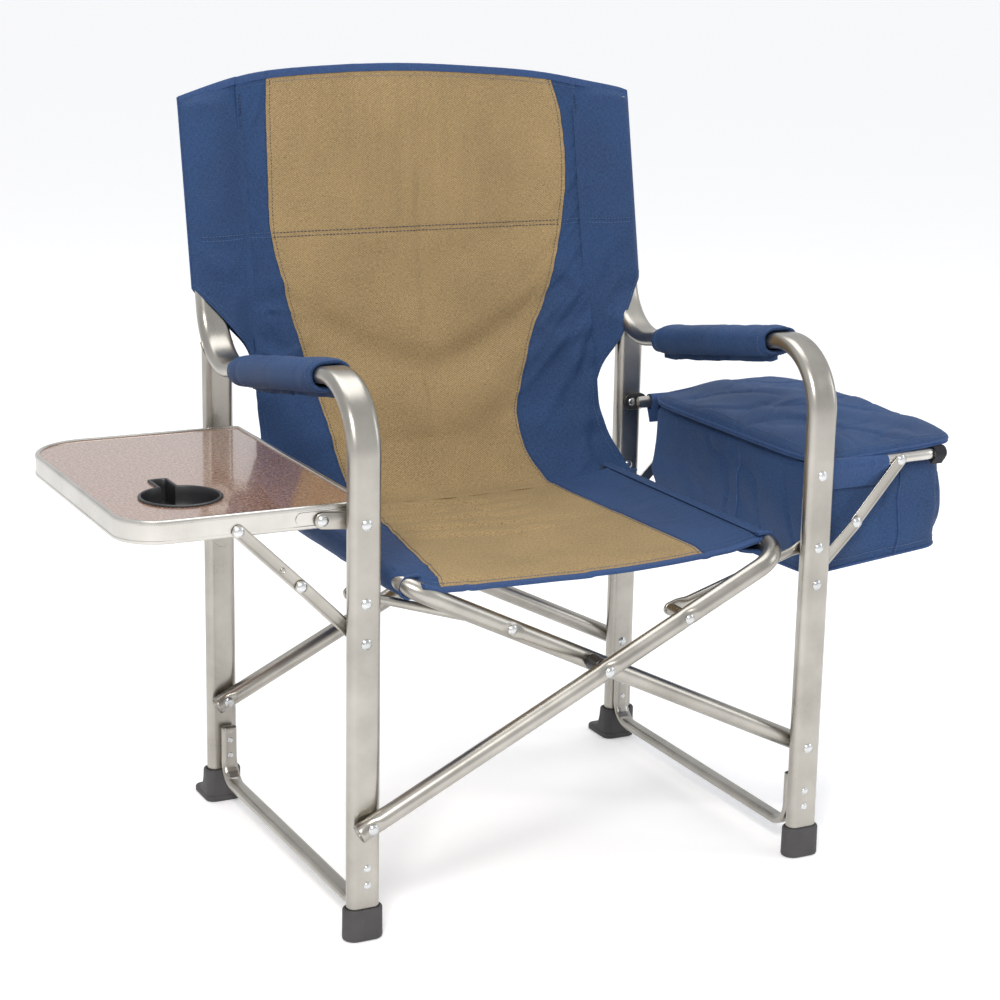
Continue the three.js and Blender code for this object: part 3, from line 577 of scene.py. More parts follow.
def side_frame(label, side):
    body = f"{label}_frame"
    x = side * LEG_X
    metal = Part()
    shape = press_round_rivets(x, -LEG_Y)
    tube(metal, FRAME_PATH + [x, 0, 0], TUBE_W, TUBE_T, (1, 0, 0), shape=shape, arc=14)
    metal.make(f"{label}_bent_tube", FRAME_METAL, body, [f"{label}_arm_frame"], "frame_metal")

    leg = Part()
    heights = np.arange(4, 500, 6.0)
    section = oval_points(TUBE_W, TUBE_T, 14)
    rings = [np.stack([x + section[:, 0], LEG_Y + section[:, 1], np.full(len(section), z)], 1)
             for z in heights]
    tops = np.array([saddle_top(px, LEG_Y + py) for px, py in section])
    for share in (0.2, 0.45, 0.7, 0.9, 1.0):
        rings.append(np.stack([x + section[:, 0], LEG_Y + section[:, 1],
                               heights[-1] + (tops - heights[-1]) * share], 1))
    leg.loft(press_round_rivets(x, LEG_Y)(np.array(rings)), 0, True, False)
    weld = np.stack([x + section[:, 0] * 1.02, LEG_Y + section[:, 1] * 1.04, tops - 1.5], 1)
    bead_ring(leg, weld, 1.5)
    leg.make(f"{label}_saddled_leg", FRAME_METAL, body, [f"{label}_rear_leg"], "frame_metal")

    brace = Part()
    y = LEG_Y - TUBE_T / 2 - 0.5 - 6
    bx = x - side * 4
    path = bent([(bx, -y, 100), (bx, -y, 30), (bx, y, 30), (bx, y, 100)], 30, 7, 5)
    bend_at = [np.array([bx, s * (y - 9), 39]) for s in (-1, 1)]
    near = np.min([np.linalg.norm(path - b, axis=1) for b in bend_at], 0)
    pinch = 1 - smooth(near, 4, 30)
    ripple = 0.05 * np.sin(path[:, 2] * 0.9) * pinch
    scale = np.stack([1 + 0.06 * pinch, 1 - 0.24 * pinch + ripple], 1)
    tube(brace, path, 20, 12, (1, 0, 0), 1.2, 24, True, scale)
    brace.make(f"{label}_foot_brace", FRAME_METAL, body, [f"{label}_lower_brace"], "frame_metal")

    # Two rivets hold each end of the brace to its leg.
    studs = Part()
    for end in (-1, 1):
        for z in (64, 84):
            rivet_head(studs, x - side * 2, z, end * (LEG_Y + TUBE_T / 2), end, 4.6, 1.9)
            rivet_head(studs, bx, z, end * (y - 6), -end, 3.6, 1.4)
    studs.make(f"{label}_brace_rivets", ZINC, body)

    foot = Part()
    rings = []
    for z, grow in ((0, -1.6), (0.8, -0.3), (2.5, 0.3), (8, 0.2), (30, 0.0), (34.5, 0.0), (36, -0.5),
                    (37, -1.6), (37, -3.4), (33, -3.7)):
        s = oval_points(TUBE_W + 8 + 2 * grow, TUBE_T + 8 + 2 * grow, 14)
        rings.append(np.stack([x + s[:, 0], -LEG_Y + s[:, 1], np.full(len(s), z)], 1))
    foot.loft(rings, 0, True, False)
    foot.make(f"{label}_front_cap", RUBBER, body, [f"{label}_front_foot"], "foot_rubber")

    boot = Part()
    rings = []
    front, heel = LEG_Y - TUBE_T / 2 - 4, LEG_Y + TUBE_T / 2 + 4
    toe = LEG_Y + TUBE_T / 2 + 36
    for z, back, grow in ((0, toe - 1, -1), (0.9, toe, 0), (5.5, toe, 0), (7.0, toe - 1.2, -0.4),
                          (7.2, toe - 4, -0.8), (9, toe - 10, -0.5),
                          (11, toe - 18, -0.4), (14, heel + 9, -0.2), (19, heel + 5, 0), (27, heel + 2, 0),
                          (36, heel + 0.6, 0),
                          (40.5, heel, 0), (42, heel - 0.8, -0.8), (42, heel - 3, -3),
                          (38, heel - 3.6, -3.6)):
        rings.append(plan_ring(x, front - min(grow, 0), back, 23 + grow, z))
    boot.loft(rings, 0, True, False)
    boot.make(f"{label}_rear_boot", RUBBER, body, [f"{label}_rear_foot"], "foot_rubber")


def bead_ring(part, ring, radius):
    """A thin round bead that follows a closed ring of points."""
    part.loft(tube_rings(closed(ring), radius * 2, radius * 2, None, None, 4))


def plan_ring(x, front, back, half, z, corner=11.0, arc=8):
    """A rounded rectangle in plan at height z."""
    r = min(corner, (back - front) / 2 - 0.1, half - 0.1)
    right, left = x + half - r, x - half + r
    spots = [(right, back - r, r, 0), (left, back - r, r, 90), (left, front + r, r, 180),
             (right, front + r, r, 270)]
    return np.array([(px, py, z) for px, py in corner_arcs(spots, arc)])


side_frame("table_side", -1)
side_frame("cooler_side", 1)


# ------------------------------------------------------------------ cross bars, links and their rivets
bar_slope = (BAR_CENTRE_Z - BAR_PIVOT_Z) / LEG_X


def bar_z(x):
    return BAR_CENTRE_Z + x * bar_slope


def bar_y(letter, end):
    return end * LEG_Y + (-BAR_SPACE if letter == "a" else BAR_SPACE)


def cross_bar(letter, rail_side):
    tip = -rail_side * (LEG_X + BAR_TIP * math.cos(math.atan(bar_slope)))
    low = bar_z(-abs(tip))
    high = bar_z(RAIL_X)
    rail = rail_side * RAIL_X
    path = bent([(tip, bar_y(letter, -1), low), (rail, bar_y(letter, -1), high),
                 (rail, bar_y(letter, 1), high), (tip, bar_y(letter, 1), low)], BAR_BEND, 3.5, 4)
    holes = [(x, end, bar_z(x * rail_side)) for end in (-1, 1)
             for x in (-rail_side * LEG_X, 0, rail_side * LINK_BAR_X)]

    def dimple(rings):
        rings = rings.copy()
        for x, end, z in holes:
            y = bar_y(letter, end)
            near = np.hypot(rings[..., 0] - x, rings[..., 2] - z)
            here = (np.abs(rings[..., 1] - y) < BAR_D) & (near < 13)
            sink = 2.0 * (1 - smooth(near, 5.5, 12.5))
            rings[..., 1] = np.where(here, y + np.sign(rings[..., 1] - y)
                                     * np.maximum(np.abs(rings[..., 1] - y) - sink, 0.0), rings[..., 1])
        return rings

    part = Part()
    tube(part, path, BAR_D, BAR_D, None, 1.5, 40, True, shape=dimple, arc=18, hem=0.8)
    part.make(f"scissor_bar_{letter}", FRAME_METAL, f"cross_bar_{letter}", [f"cross_bar_{letter}"],
              "frame_metal")


cross_bar("a", 1)
cross_bar("b", -1)


def link(label, name, side, front, boss_at_leg, boss_from, boss_to):
    """A round tube pressed flat at both ends."""
    back = front + LINK_THICK
    a = np.array([side * LEG_X, (front + back) / 2, LINK_LEG_Z])
    b = np.array([side * LINK_BAR_X, (front + back) / 2, bar_z(LINK_BAR_X)])
    u = (b - a) / np.linalg.norm(b - a)
    long = np.linalg.norm(b - a) + 16
    start = a - u * 8
    stops = np.concatenate([np.array([0.02, 0.25, 0.7, 1.5, 2.6, 4, 5.8, 8]), np.linspace(11, long - 11, 60),
                            long - np.array([8, 5.8, 4, 2.6, 1.5, 0.7, 0.25, 0.02])])
    path = start + u * stops[:, None]
    near_end = np.minimum(stops, long - stops)
    flat = 1 - smooth(near_end, 17, 34)
    wide = 10.5 + 5.5 * flat
    wide = np.where(near_end < 8, 16 * np.sqrt(np.clip(1 - ((8 - near_end) / 8) ** 2, 0.0004, 1)), wide)
    thick = 10.5 - 5.8 * flat
    across = np.cross(u, [0, 1, 0])
    round_section = oval_points(1, 1, 12)
    rings = []
    for p, w, t, f in zip(path, wide, thick, flat):
        power = 1 - 0.55 * f
        sx = np.sign(round_section[:, 0]) * np.abs(round_section[:, 0] * 2) ** power / 2
        sy = np.sign(round_section[:, 1]) * np.abs(round_section[:, 1] * 2) ** power / 2
        rings.append(p + across * sx[:, None] * w + np.array([0, 1, 0]) * sy[:, None] * t)
    part = Part()
    part.loft(rings, 0, True, True)
    centre = a if boss_at_leg else b
    collar(part, centre[0], centre[2], boss_from, boss_to, 7)
    rivet_head(part, b[0], b[2], back, 1, 5.6, 2.0, 1)
    part.make(f"{label}_{name}_pressed_link", [FRAME_METAL, ZINC], f"{label}_links", [f"{label}_{name}_link"],
              "frame_metal")


RIVET_SUNK = 1.5  # how far a rivet head sits in the dimple of its bar


def bar_hardware():
    for end in (-1, 1):
        name = "front" if end < 0 else "rear"
        a_front, a_back = bar_y("a", end) - BAR_D / 2, bar_y("a", end) + BAR_D / 2
        b_front, b_back = bar_y("b", end) - BAR_D / 2, bar_y("b", end) + BAR_D / 2
        leg_front, leg_back = end * LEG_Y - TUBE_T / 2, end * LEG_Y + TUBE_T / 2
        for label, x, front, back in (("table_side", -LEG_X, a_front + RIVET_SUNK, leg_back),
                                      ("cooler_side", LEG_X, leg_front, b_back - RIVET_SUNK)):
            pin = Part()
            rivet_head(pin, x, BAR_PIVOT_Z, front, -1)
            rivet_head(pin, x, BAR_PIVOT_Z, back, 1)
            pin.make(f"{label}_{name}_pivot_rivet", ZINC, f"{label}_frame", [f"{label}_{name}_pivot_pin"],
                     "zinc")
            pin = Part()
            rivet_head(pin, x, LINK_LEG_Z, leg_front, -1)
            offset = TABLE_LINK_OFFSET if label == "table_side" else COOLER_LINK_OFFSET
            rivet_head(pin, x, LINK_LEG_Z, leg_back + offset + LINK_THICK, 1)
            pin.make(f"{label}_{name}_link_rivet", ZINC, f"{label}_frame", [f"{label}_{name}_link_pin"],
                     "zinc")
        bolt = Part()
        rivet_head(bolt, 0, BAR_CENTRE_Z, a_front + RIVET_SUNK, -1, 6.2, 2.4)
        rivet_head(bolt, 0, BAR_CENTRE_Z, b_back - RIVET_SUNK, 1, 6.2, 2.4)
        bolt.make(f"{name}_crossing_rivet", ZINC, "cross_bar_a", [f"{name}_crossing_bolt"], "zinc")
        spacer = Part()
        collar(spacer, 0, BAR_CENTRE_Z, a_back - 1.8, b_front + 1.8, 9.5, 0, 32, 0.8)
        spacer.make(f"{name}_crossing_bush", PLASTIC, "cross_bar_a", [f"{name}_crossing_spacer"],
                    "black_plastic")
        bar_end_z = bar_z(LINK_BAR_X)
        link("table_side", name, -1, leg_back + TABLE_LINK_OFFSET, True, leg_back, leg_back + 24.5)
        link("cooler_side", name, 1, leg_back + COOLER_LINK_OFFSET, False, a_back - 1.6, leg_back + 2.6)
        for label, side, face, body in (("table_side", -1, b_front + RIVET_SUNK, "cross_bar_b"),
                                        ("cooler_side", 1, a_front + RIVET_SUNK, "cross_bar_a")):
            stud = Part()
            rivet_head(stud, side * LINK_BAR_X, bar_end_z, face, -1, 5.8, 2.2)
            stud.make(f"{label}_{name}_bar_stud", ZINC, body, [f"{label}_{name}_bar_rivet"], "zinc")


bar_hardware()


# ------------------------------------------------------------------ table and cooler hardware
def hinge_bracket(label, side, back, hinge_x, hinge_z, wide, thick, far_y, mats):
    """A plate from its leg rivet to the hinge bolt. back mirrors it to the rear."""
    flip = -1 if not back else 1
    name = "rear" if back else "front"
    part = Part()
    near, far = flip * STRUT_OUTER, flip * (STRUT_OUTER - thick)
    strap(part, side * LEG_X, HARDWARE_Z, hinge_x, hinge_z, wide, near, far)
    rivet_head(part, side * LEG_X, HARDWARE_Z, flip * (LEG_Y + TUBE_T / 2), flip, slot=1)
    rivet_head(part, side * LEG_X, HARDWARE_Z, far, -flip, 5, 1.4, slot=1)
    rivet_head(part, hinge_x, hinge_z, near, flip, 6.2, 2.2, slot=1)
    if abs(far_y - far) > 1:
        collar(part, hinge_x, hinge_z, min(far, far_y), max(far, far_y), 6, 1)
    part.make(f"{label}_{name}_hinge_plate", mats, f"{label}_frame", [f"{label}_{name}_bracket"],
              "black_plastic" if label == "cooler_side" else "frame_metal")


def strut_pair(label, side, knee, tie, rear_gap):
    for back in (False, True):
        flip = 1 if back else -1
        name = "rear" if back else "front"
        lower = Part()
        strap(lower, side * LEG_X, STRUT_LEG_Z, *knee, STRUT_WIDE, flip * STRUT_OUTER,
              flip * (STRUT_OUTER - STRUT_THICK), STRUT_CHANNEL)
        rivet_head(lower, side * LEG_X, STRUT_LEG_Z, flip * (LEG_Y + TUBE_T / 2), flip, slot=1)
        rivet_head(lower, *knee, flip * STRUT_OUTER, flip, 6.0, 2.2, slot=1)
        lower.make(f"{label}_{name}_lower_stay", [FRAME_METAL, ZINC], f"{label}_lower_struts",
                   [f"{label}_{name}_lower_strut"], "frame_metal")
        upper = Part()
        strap(upper, *knee, *tie, STRUT_WIDE, flip * STRUT_INNER, flip * (STRUT_INNER - STRUT_THICK),
              STRUT_CHANNEL)
        rivet_head(upper, *tie, flip * STRUT_INNER, flip, 6.0, 2.2, slot=1)
        dx, dz = tie[0] - knee[0], tie[1] - knee[1]
        # The cooler's stays close over each other, so its stop stud stands on the inner face.
        if label == "table":
            stud_y, stud_facing = flip * STRUT_INNER, flip
        else:
            stud_y, stud_facing = flip * (STRUT_INNER - STRUT_THICK), -flip
        rivet_head(upper, knee[0] + dx * 0.3, knee[1] + dz * 0.3, stud_y, stud_facing, 3.2, 1.0)
        if back and rear_gap:
            face = flip * (STRUT_INNER - STRUT_THICK)
            collar(upper, *tie, min(face, face - rear_gap), max(face, face - rear_gap), 6, 1)
        upper.make(f"{label}_{name}_upper_stay", [FRAME_METAL, ZINC], f"{label}_upper_struts",
                   [f"{label}_{name}_upper_strut"], "frame_metal")


rear_gap = -TABLE_Y0 - TABLE_Y1
for back in (False, True):
    hinge_bracket("table_side", -1, back, *TABLE_HINGE, 18, 2, TABLE_Y1 if back else TABLE_Y0,
                  [FRAME_METAL, ZINC])
    hinge_bracket("cooler_side", 1, back, COOLER_HINGE_X, HARDWARE_Z, 22, 4,
                  (1 if back else -1) * (STRUT_OUTER - 4), [PLASTIC, ZINC])
strut_pair("table", -1, TABLE_KNEE, TABLE_TIE, rear_gap)
cooler_tie_z = HARDWARE_Z + (COOLER_TIE_X - COOLER_HINGE_X) * COOLER_RISE
strut_pair("cooler", 1, COOLER_KNEE, (COOLER_TIE_X, cooler_tie_z), 0)


# ------------------------------------------------------------------ side table
def table_outline(inset, z, arc=18):
    """The table's plan: wide corners outboard, small ones by the leg."""
    x0, x1, y0, y1 = TABLE_X0 + inset, TABLE_X1 - inset, TABLE_Y0 + inset, TABLE_Y1 - inset
    small = max(10 - inset, 2)
    front, rear = TABLE_FRONT_CORNER - inset, TABLE_REAR_CORNER - inset
    corners = [(x1 - small, y1 - small, small, 0), (x0 + rear, y1 - rear, rear, 90),
               (x0 + front, y0 + front, front, 180), (x1 - small, y0 + small, small, 270)]
    return np.array([(px, py, z) for px, py in corner_arcs(corners, arc)])


rim = Part()
profile = [(0.9, 469.4), (2.2, 469.0), (13.0, 469.0), (13.5, 469.6), (13.4, 471.0), (5.6, 471.8), (5.2, 473),
           (5.2, 491.6),
           (5.6, 493.2), (5.0, 494.1), (3.6, 494.6), (1.8, 494.4), (0.5, 493.4), (0.0, 491.8), (0.0, 490.2),
           (0.7, 489.6),
           (0.7, 473.4), (0.0, 472.8), (0.0, 470.6)]
rim.loft([table_outline(i, z) for i, z in profile], 0, around=True)
for flip in (-1, 1):
    y = TABLE_Y0 if flip < 0 else TABLE_Y1
    strap(rim, -352, 481, -300, 481, 14, y - flip * 0.2, y + flip * 0.35)
rim.make("table_edge_rim", RIM_METAL, "table", ["table_rim"], "frame_metal", sharp=30)

SLOT_HALF, SLOT_END = 8.0, 76.0


def cup_outline(radius, half, reach, z, arc=56, side=6, end=6):
    """A circle with a straight slot towards +Y, always with the same number of points."""
    start = math.acos(min(0.999, half / radius))
    out = []
    for k in range(arc + 1):
        a = math.pi - start + (math.pi + 2 * start) * k / arc
        out.append((CUP_X + radius * math.cos(a), CUP_Y + radius * math.sin(a)))
    join_y = radius * math.sin(start)
    reach = max(reach, join_y + 0.2)
    for k in range(1, side + 1):
        out.append((CUP_X + half, CUP_Y + join_y + (reach - 2 - join_y) * k / side))
    for k in range(1, end):
        a = math.pi * k / end
        out.append((CUP_X + half * math.cos(a), CUP_Y + reach - 2 + 2 * math.sin(a)))
    for k in range(side, 0, -1):
        out.append((CUP_X - half, CUP_Y + join_y + (reach - 2 - join_y) * k / side))
    return np.array([(px, py, z) for px, py in out])


PANEL_TOP = TABLE_HIGH - 1.5
panel = Part()
outer = table_outline(5.4, PANEL_TOP)
hole = cup_outline(CUP_BORE + 1.9, SLOT_HALF + 1.8, SLOT_END + 1.8, PANEL_TOP)
for z, up in ((PANEL_TOP, True), (PANEL_TOP - 4, False)):
    loops = [[Vector((px, py, 0)) for px, py, _ in outer], [Vector((px, py, 0)) for px, py, _ in hole]]
    both = np.vstack([outer, hole])
    both[:, 2] = z
    panel.add(both, [tuple(t) for t in tessellate_polygon(loops)])
panel.loft([np.column_stack([outer[:, :2], np.full(len(outer), z)]) for z in (PANEL_TOP, PANEL_TOP - 4)])
panel.loft([np.column_stack([hole[:, :2], np.full(len(hole), z)]) for z in (PANEL_TOP, PANEL_TOP - 4)])
panel.make("table_laminate_panel", LAMINATE, "table", ["table_panel"], "laminate", weld=True)

cup = Part()
top = PANEL_TOP
rings = [cup_outline(CUP_BORE + 2.4, SLOT_HALF + 2.4, SLOT_END + 2.4, top - 3)]
for grow, z in ((3.4, top + 0.2), (4.0, top + 0.5), (3.9, top + 1.5), (3.0, top + 2.4), (1.6, top + 2.6),
                (0.5, top + 2.2), (0.0, top + 1.0)):
    rings.append(cup_outline(CUP_BORE + grow, SLOT_HALF + min(grow, 3.4), SLOT_END + min(grow, 3.4), z))
for z, taper in ((top - 6, 0.4), (top - 14, 1.2), (CUP_FLOOR + 18, 2.4)):
    rings.append(cup_outline(CUP_BORE - taper, SLOT_HALF - taper * 0.3, SLOT_END - taper * 0.5, z))
rings.append(cup_outline(CUP_BORE - 3.2, SLOT_HALF - 1.2, 40, CUP_FLOOR + 17))
for z, r in ((CUP_FLOOR + 9, 37.0), (CUP_FLOOR + 5, 35.6), (CUP_FLOOR + 3, 33.2), (CUP_FLOOR + 2.4, 30),
             (CUP_FLOOR + 2.4, 12)):
    rings.append(cup_outline(r, min(SLOT_HALF - 1.5, r * 0.5), 0, z))
cup.loft(rings, 0, False, True)
rings = [rings[0]]
for grow, z in ((1.8, top - 8), (1.5, CUP_FLOOR + 15)):
    rings.append(cup_outline(CUP_BORE + grow, SLOT_HALF + grow, SLOT_END + grow, z))
for r, z in ((39.6, CUP_FLOOR + 12), (37.5, CUP_FLOOR + 3), (35.5, CUP_FLOOR), (15, CUP_FLOOR)):
    rings.append(cup_outline(r, min(SLOT_HALF, r * 0.5), 0, z))
cup.loft(rings, 0, False, True)
cup.make("cup_holder_ring", PLASTIC, "table", ["cup_holder"], "black_plastic", weld=True)


# ------------------------------------------------------------------ cloth sheets
class Sheet:
    """A grid of cloth points with flat coordinates, so seams and stitches can follow it."""

    def __init__(self, points, flat):
        self.p = np.asarray(points, float)
        self.flat = np.asarray(flat, float)

    def normals(self):
        du = np.gradient(self.p, axis=1)
        dv = np.gradient(self.p, axis=0)
        n = np.cross(du, dv)
        return n / np.maximum(np.linalg.norm(n, axis=2), 1e-9)[..., None]

    def at(self, row, col, grid=None):
        """The point, or another grid's value, at fractional row and column."""
        grid = self.p if grid is None else grid
        rows, cols = grid.shape[:2]
        row, col = np.clip(row, 0, rows - 1.0001), np.clip(col, 0, cols - 1.0001)
        i, j = np.floor(row).astype(int), np.floor(col).astype(int)
        a, b = (row - i)[..., None], (col - j)[..., None]
        return ((1 - a) * (1 - b) * grid[i, j] + (1 - a) * b * grid[i, j + 1]
                + a * (1 - b) * grid[i + 1, j] + a * b * grid[i + 1, j + 1])

    def build(self, part, thick, slots, face_up=1.0):
        """Adds the sheet with a thickness below its face side."""
        n = self.normals() * face_up
        thick = np.broadcast_to(np.asarray(thick, float), self.p.shape[:2])[..., None]
        front, back = self.p, self.p - n * thick
        rows, cols = self.p.shape[:2]
        uv = self.flat.reshape(-1, 2) * MM
        faces = grid_faces(rows, cols)
        slots = np.asarray(slots).reshape(-1).tolist()
        rim_index = np.concatenate([np.arange(cols), np.arange(2, rows + 1) * cols - 1,
                                    (rows - 1) * cols + np.arange(cols - 2, -1, -1),
                                    np.arange(rows - 2, 0, -1) * cols])
        count = rows * cols
        flipped = [tuple(i + count for i in f[::-1]) for f in faces]
        nxt = np.roll(rim_index, -1)
        side = [(int(a), int(b), int(b) + count, int(a) + count) for a, b in zip(rim_index, nxt)]
        beside = np.minimum(rim_index // cols, rows - 2) * (cols - 1) + np.minimum(rim_index % cols, cols - 2)
        side_slots = [slots[i] for i in beside]
        part.add(np.concatenate([front.reshape(-1, 3), back.reshape(-1, 3)]), faces + flipped + side,
                 slots + slots + side_slots, np.concatenate([uv, uv]))


STITCH_LIFT = 0.15  # how far the thread stands off the cloth


def stitch_row(part, line, normal, pitch=4.2, long=2.9, wide=0.75, slot=0):
    """Separate thread stitches along a line that lies on cloth."""
    line, normal = np.asarray(line, float), np.asarray(normal, float)
    at = run_along(line)

    def spot(s, grid):
        return np.array([np.interp(s, at, grid[:, k]) for k in range(3)]).T
    starts = np.arange(pitch * 0.5, at[-1] - long, pitch)
    shares = np.array([0.0, 0.18, 0.5, 0.82, 1.0])
    sink = np.array([-0.35, 0.25, 0.42, 0.25, -0.35]) * wide
    girth = np.array([0.35, 0.9, 1.0, 0.9, 0.35]) * wide / 2
    angle = np.arange(6) * math.pi / 3
    for s in starts:
        spots = spot(s + shares * long, line)
        up = spot(s + shares * long, normal)
        up /= np.linalg.norm(up, axis=1)[:, None]
        run = spots[-1] - spots[0]
        run /= np.linalg.norm(run)
        side = np.cross(run, up)
        rings = ((spots + up * (sink + STITCH_LIFT)[:, None])[:, None]
                 + side[:, None] * (np.cos(angle)[None, :, None] * girth[:, None, None])
                 + up[:, None] * (np.sin(angle)[None, :, None] * girth[:, None, None]))
        part.loft(rings, slot, True, True)


def piping(part, line, radius):
    """A round cord or fold along an open line."""
    part.loft(tube_rings(np.asarray(line, float), radius * 2, radius * 2, None, None, 5), 0, True, True)


def cloudy(x, y, seed, size):
    """Smooth random relief from -1 to 1, with bumps about size millimetres apart."""
    grid = np.random.default_rng(seed).uniform(-1, 1, (97, 97))
    gx, gy = (np.asarray(x, float) / size) % 96, (np.asarray(y, float) / size) % 96
    i, j = np.floor(gx).astype(int), np.floor(gy).astype(int)
    a, b = gx - i, gy - j
    a, b = a * a * (3 - 2 * a), b * b * (3 - 2 * b)
    return ((1 - a) * (1 - b) * grid[i, j] + (1 - a) * b * grid[i, j + 1]
            + a * (1 - b) * grid[i + 1, j] + a * b * grid[i + 1, j + 1])


def creased(x, y, seed, size):
    """Sharp random creases, 1 along their lines and falling off within a part of size."""
    return np.clip(1 - 4.0 * np.abs(cloudy(x, y, seed, size)), 0, 1) ** 2


def simulate(sheet, pinned, slack, steps=26, gravity=0.5, bending=0.6, cap=12.0):
    """Lets a sheet with a little spare cloth settle between its pinned points."""
    rows, cols = sheet.p.shape[:2]
    mesh = bpy.data.meshes.new("settling")
    mesh.from_pydata((sheet.p.reshape(-1, 3) * MM).tolist(), [], grid_faces(rows, cols))
    obj = bpy.data.objects.new("settling", mesh)
    bpy.context.scene.collection.objects.link(obj)
    group = obj.vertex_groups.new(name="pins")
    for weight in np.unique(pinned):
        if weight > 0:
            group.add(np.flatnonzero(pinned.reshape(-1) == weight).tolist(), float(weight), "REPLACE")
    cloth = obj.modifiers.new("cloth", "CLOTH")
    settings = cloth.settings
    settings.quality = 6
    settings.mass = 0.25
    settings.tension_stiffness = settings.compression_stiffness = 25
    settings.shear_stiffness = 10
    settings.bending_stiffness = bending
    settings.air_damping = 3
    settings.vertex_group_mass = "pins"
    settings.shrink_min = -slack
    settings.effector_weights.gravity = gravity
    cloth.collision_settings.use_collision = False
    cloth.point_cache.frame_start, cloth.point_cache.frame_end = 1, steps
    for frame_number in range(1, steps + 1):
        bpy.context.scene.frame_set(frame_number)
    settled = obj.evaluated_get(bpy.context.evaluated_depsgraph_get()).to_mesh()
    out = np.zeros(rows * cols * 3, np.float32)
    settled.vertices.foreach_get("co", out)
    moved = out.reshape(rows, cols, 3) / MM - sheet.p
    far = np.linalg.norm(moved, axis=2, keepdims=True)
    sheet.p = sheet.p + moved * np.minimum(1, cap / np.maximum(far, 1e-6))
    bpy.data.objects.remove(obj)
    bpy.data.meshes.remove(mesh)
    bpy.context.scene.frame_set(1)
    return sheet


def grid_line(sheet, rows, cols):
    """A line on a sheet through fractional rows and columns, with its normals."""
    rows, cols = np.broadcast_arrays(np.asarray(rows, float), np.asarray(cols, float))
    return sheet.at(rows, cols), sheet.at(rows, cols, sheet.normals())


def sew(part, sheet, rows, cols, facing, *gauge, slot=0):
    """Stitches a line of the sheet's grid. gauge is the pitch, length and width of a stitch."""
    line, normal = grid_line(sheet, rows, cols)
    stitch_row(part, line, normal * facing, *gauge, slot=slot)


def panels(edges, widths):
    """Columns of x from edge to edge of side-by-side panels, where each shared edge comes once."""
    columns = []
    for a, b, count in zip(edges, edges[1:], widths):
        share = np.linspace(0, 1, count + 1)[(1 if columns else 0):]
        columns.append(a[:, None] + (b - a)[:, None] * share)
    return np.concatenate(columns, 1)


def columns_to_seam(shape):
    """For each grid point, how many columns lie between it and the nearer colour seam."""
    col = np.arange(shape[1])
    return np.minimum(np.abs(col - WING), np.abs(col - WING - MIDDLE))[None, :] * np.ones(shape)


def panel_slots(shape):
    """Face slots of a sheet with tan between its two navy wings."""
    slots = np.zeros((shape[0] - 1, shape[1] - 1), int)
    slots[:, WING:WING + MIDDLE] = 1
    return slots


# ------------------------------------------------------------------ back cloth
RAIL_Z = bar_z(RAIL_X)
RAIL_TOP = RAIL_Z + BAR_D / 2
BACK_PROFILE = np.array([(148, RAIL_TOP - 5), (170, RAIL_TOP + 1.0), (190, 414), (206, 442), (220, 505),
                         (234, 570), (back_y(640) + 1, 640),
                         (back_y(720) + 3, 720), (back_y(800) + 3, 800), (back_y(860) + 1, 860),
                         (back_y(886), 886)], float)


def curve_through(points, count):
    """Evenly spaced points on a smooth curve through the given ones."""
    points = np.asarray(points, float)
    t = np.concatenate([[0], np.cumsum(np.sqrt(np.linalg.norm(np.diff(points, axis=0), axis=1)))])
    tangent = np.gradient(points, t, axis=0)
    fine = []
    for k in range(len(points) - 1):
        h = t[k + 1] - t[k]
        for u in np.linspace(0, 1, 30, endpoint=False):
            fine.append((2 * u**3 - 3 * u**2 + 1) * points[k] + (u**3 - 2 * u**2 + u) * h * tangent[k]
                        + (-2 * u**3 + 3 * u**2) * points[k + 1] + (u**3 - u**2) * h * tangent[k + 1])
    fine = np.array(fine + [points[-1]])
    s = run_along(fine)
    at = np.linspace(0, s[-1], count)
    return np.array([np.interp(at, s, fine[:, k]) for k in range(points.shape[1])]).T


def by_height(z, pairs):
    """A smooth value read from (height, value) pairs."""
    pairs = sorted(pairs)
    curve = curve_through(pairs, 200)
    return np.interp(z, curve[:, 0], curve[:, 1])


TOP_EDGE = [(-309, 879), (-300, 882), (-239, 900), (-194, 908), (-98, 914), (-13, 915), (74, 911), (181, 902),
            (254, 889), (300, 880), (309, 877)]
LEFT_FOOT = [(236, 545), (245, 578), (264, 602), (286, 628), (304, 647), (309, 653)]
RIGHT_FOOT = [(236, 500), (245, 525), (260, 552), (270, 571), (279, 594), (300, 626), (309, 640)]


def top_edge(x):
    curve = curve_through(TOP_EDGE, 200)
    return np.interp(x, curve[:, 0], curve[:, 1])


# Grid rows of the back, then the columns of a navy wing and of the tan middle.
BACK_ROWS, WING, MIDDLE = 132, 22, 76
# A seam has two stitch rows, just inside and just outside it.
SEAM_STITCHES = (WING - 0.55, WING + 0.9, WING + MIDDLE + 0.55, WING + MIDDLE - 0.9)
ROW_SHIFTS = (-2.6, 2.6)  # the cross row is double
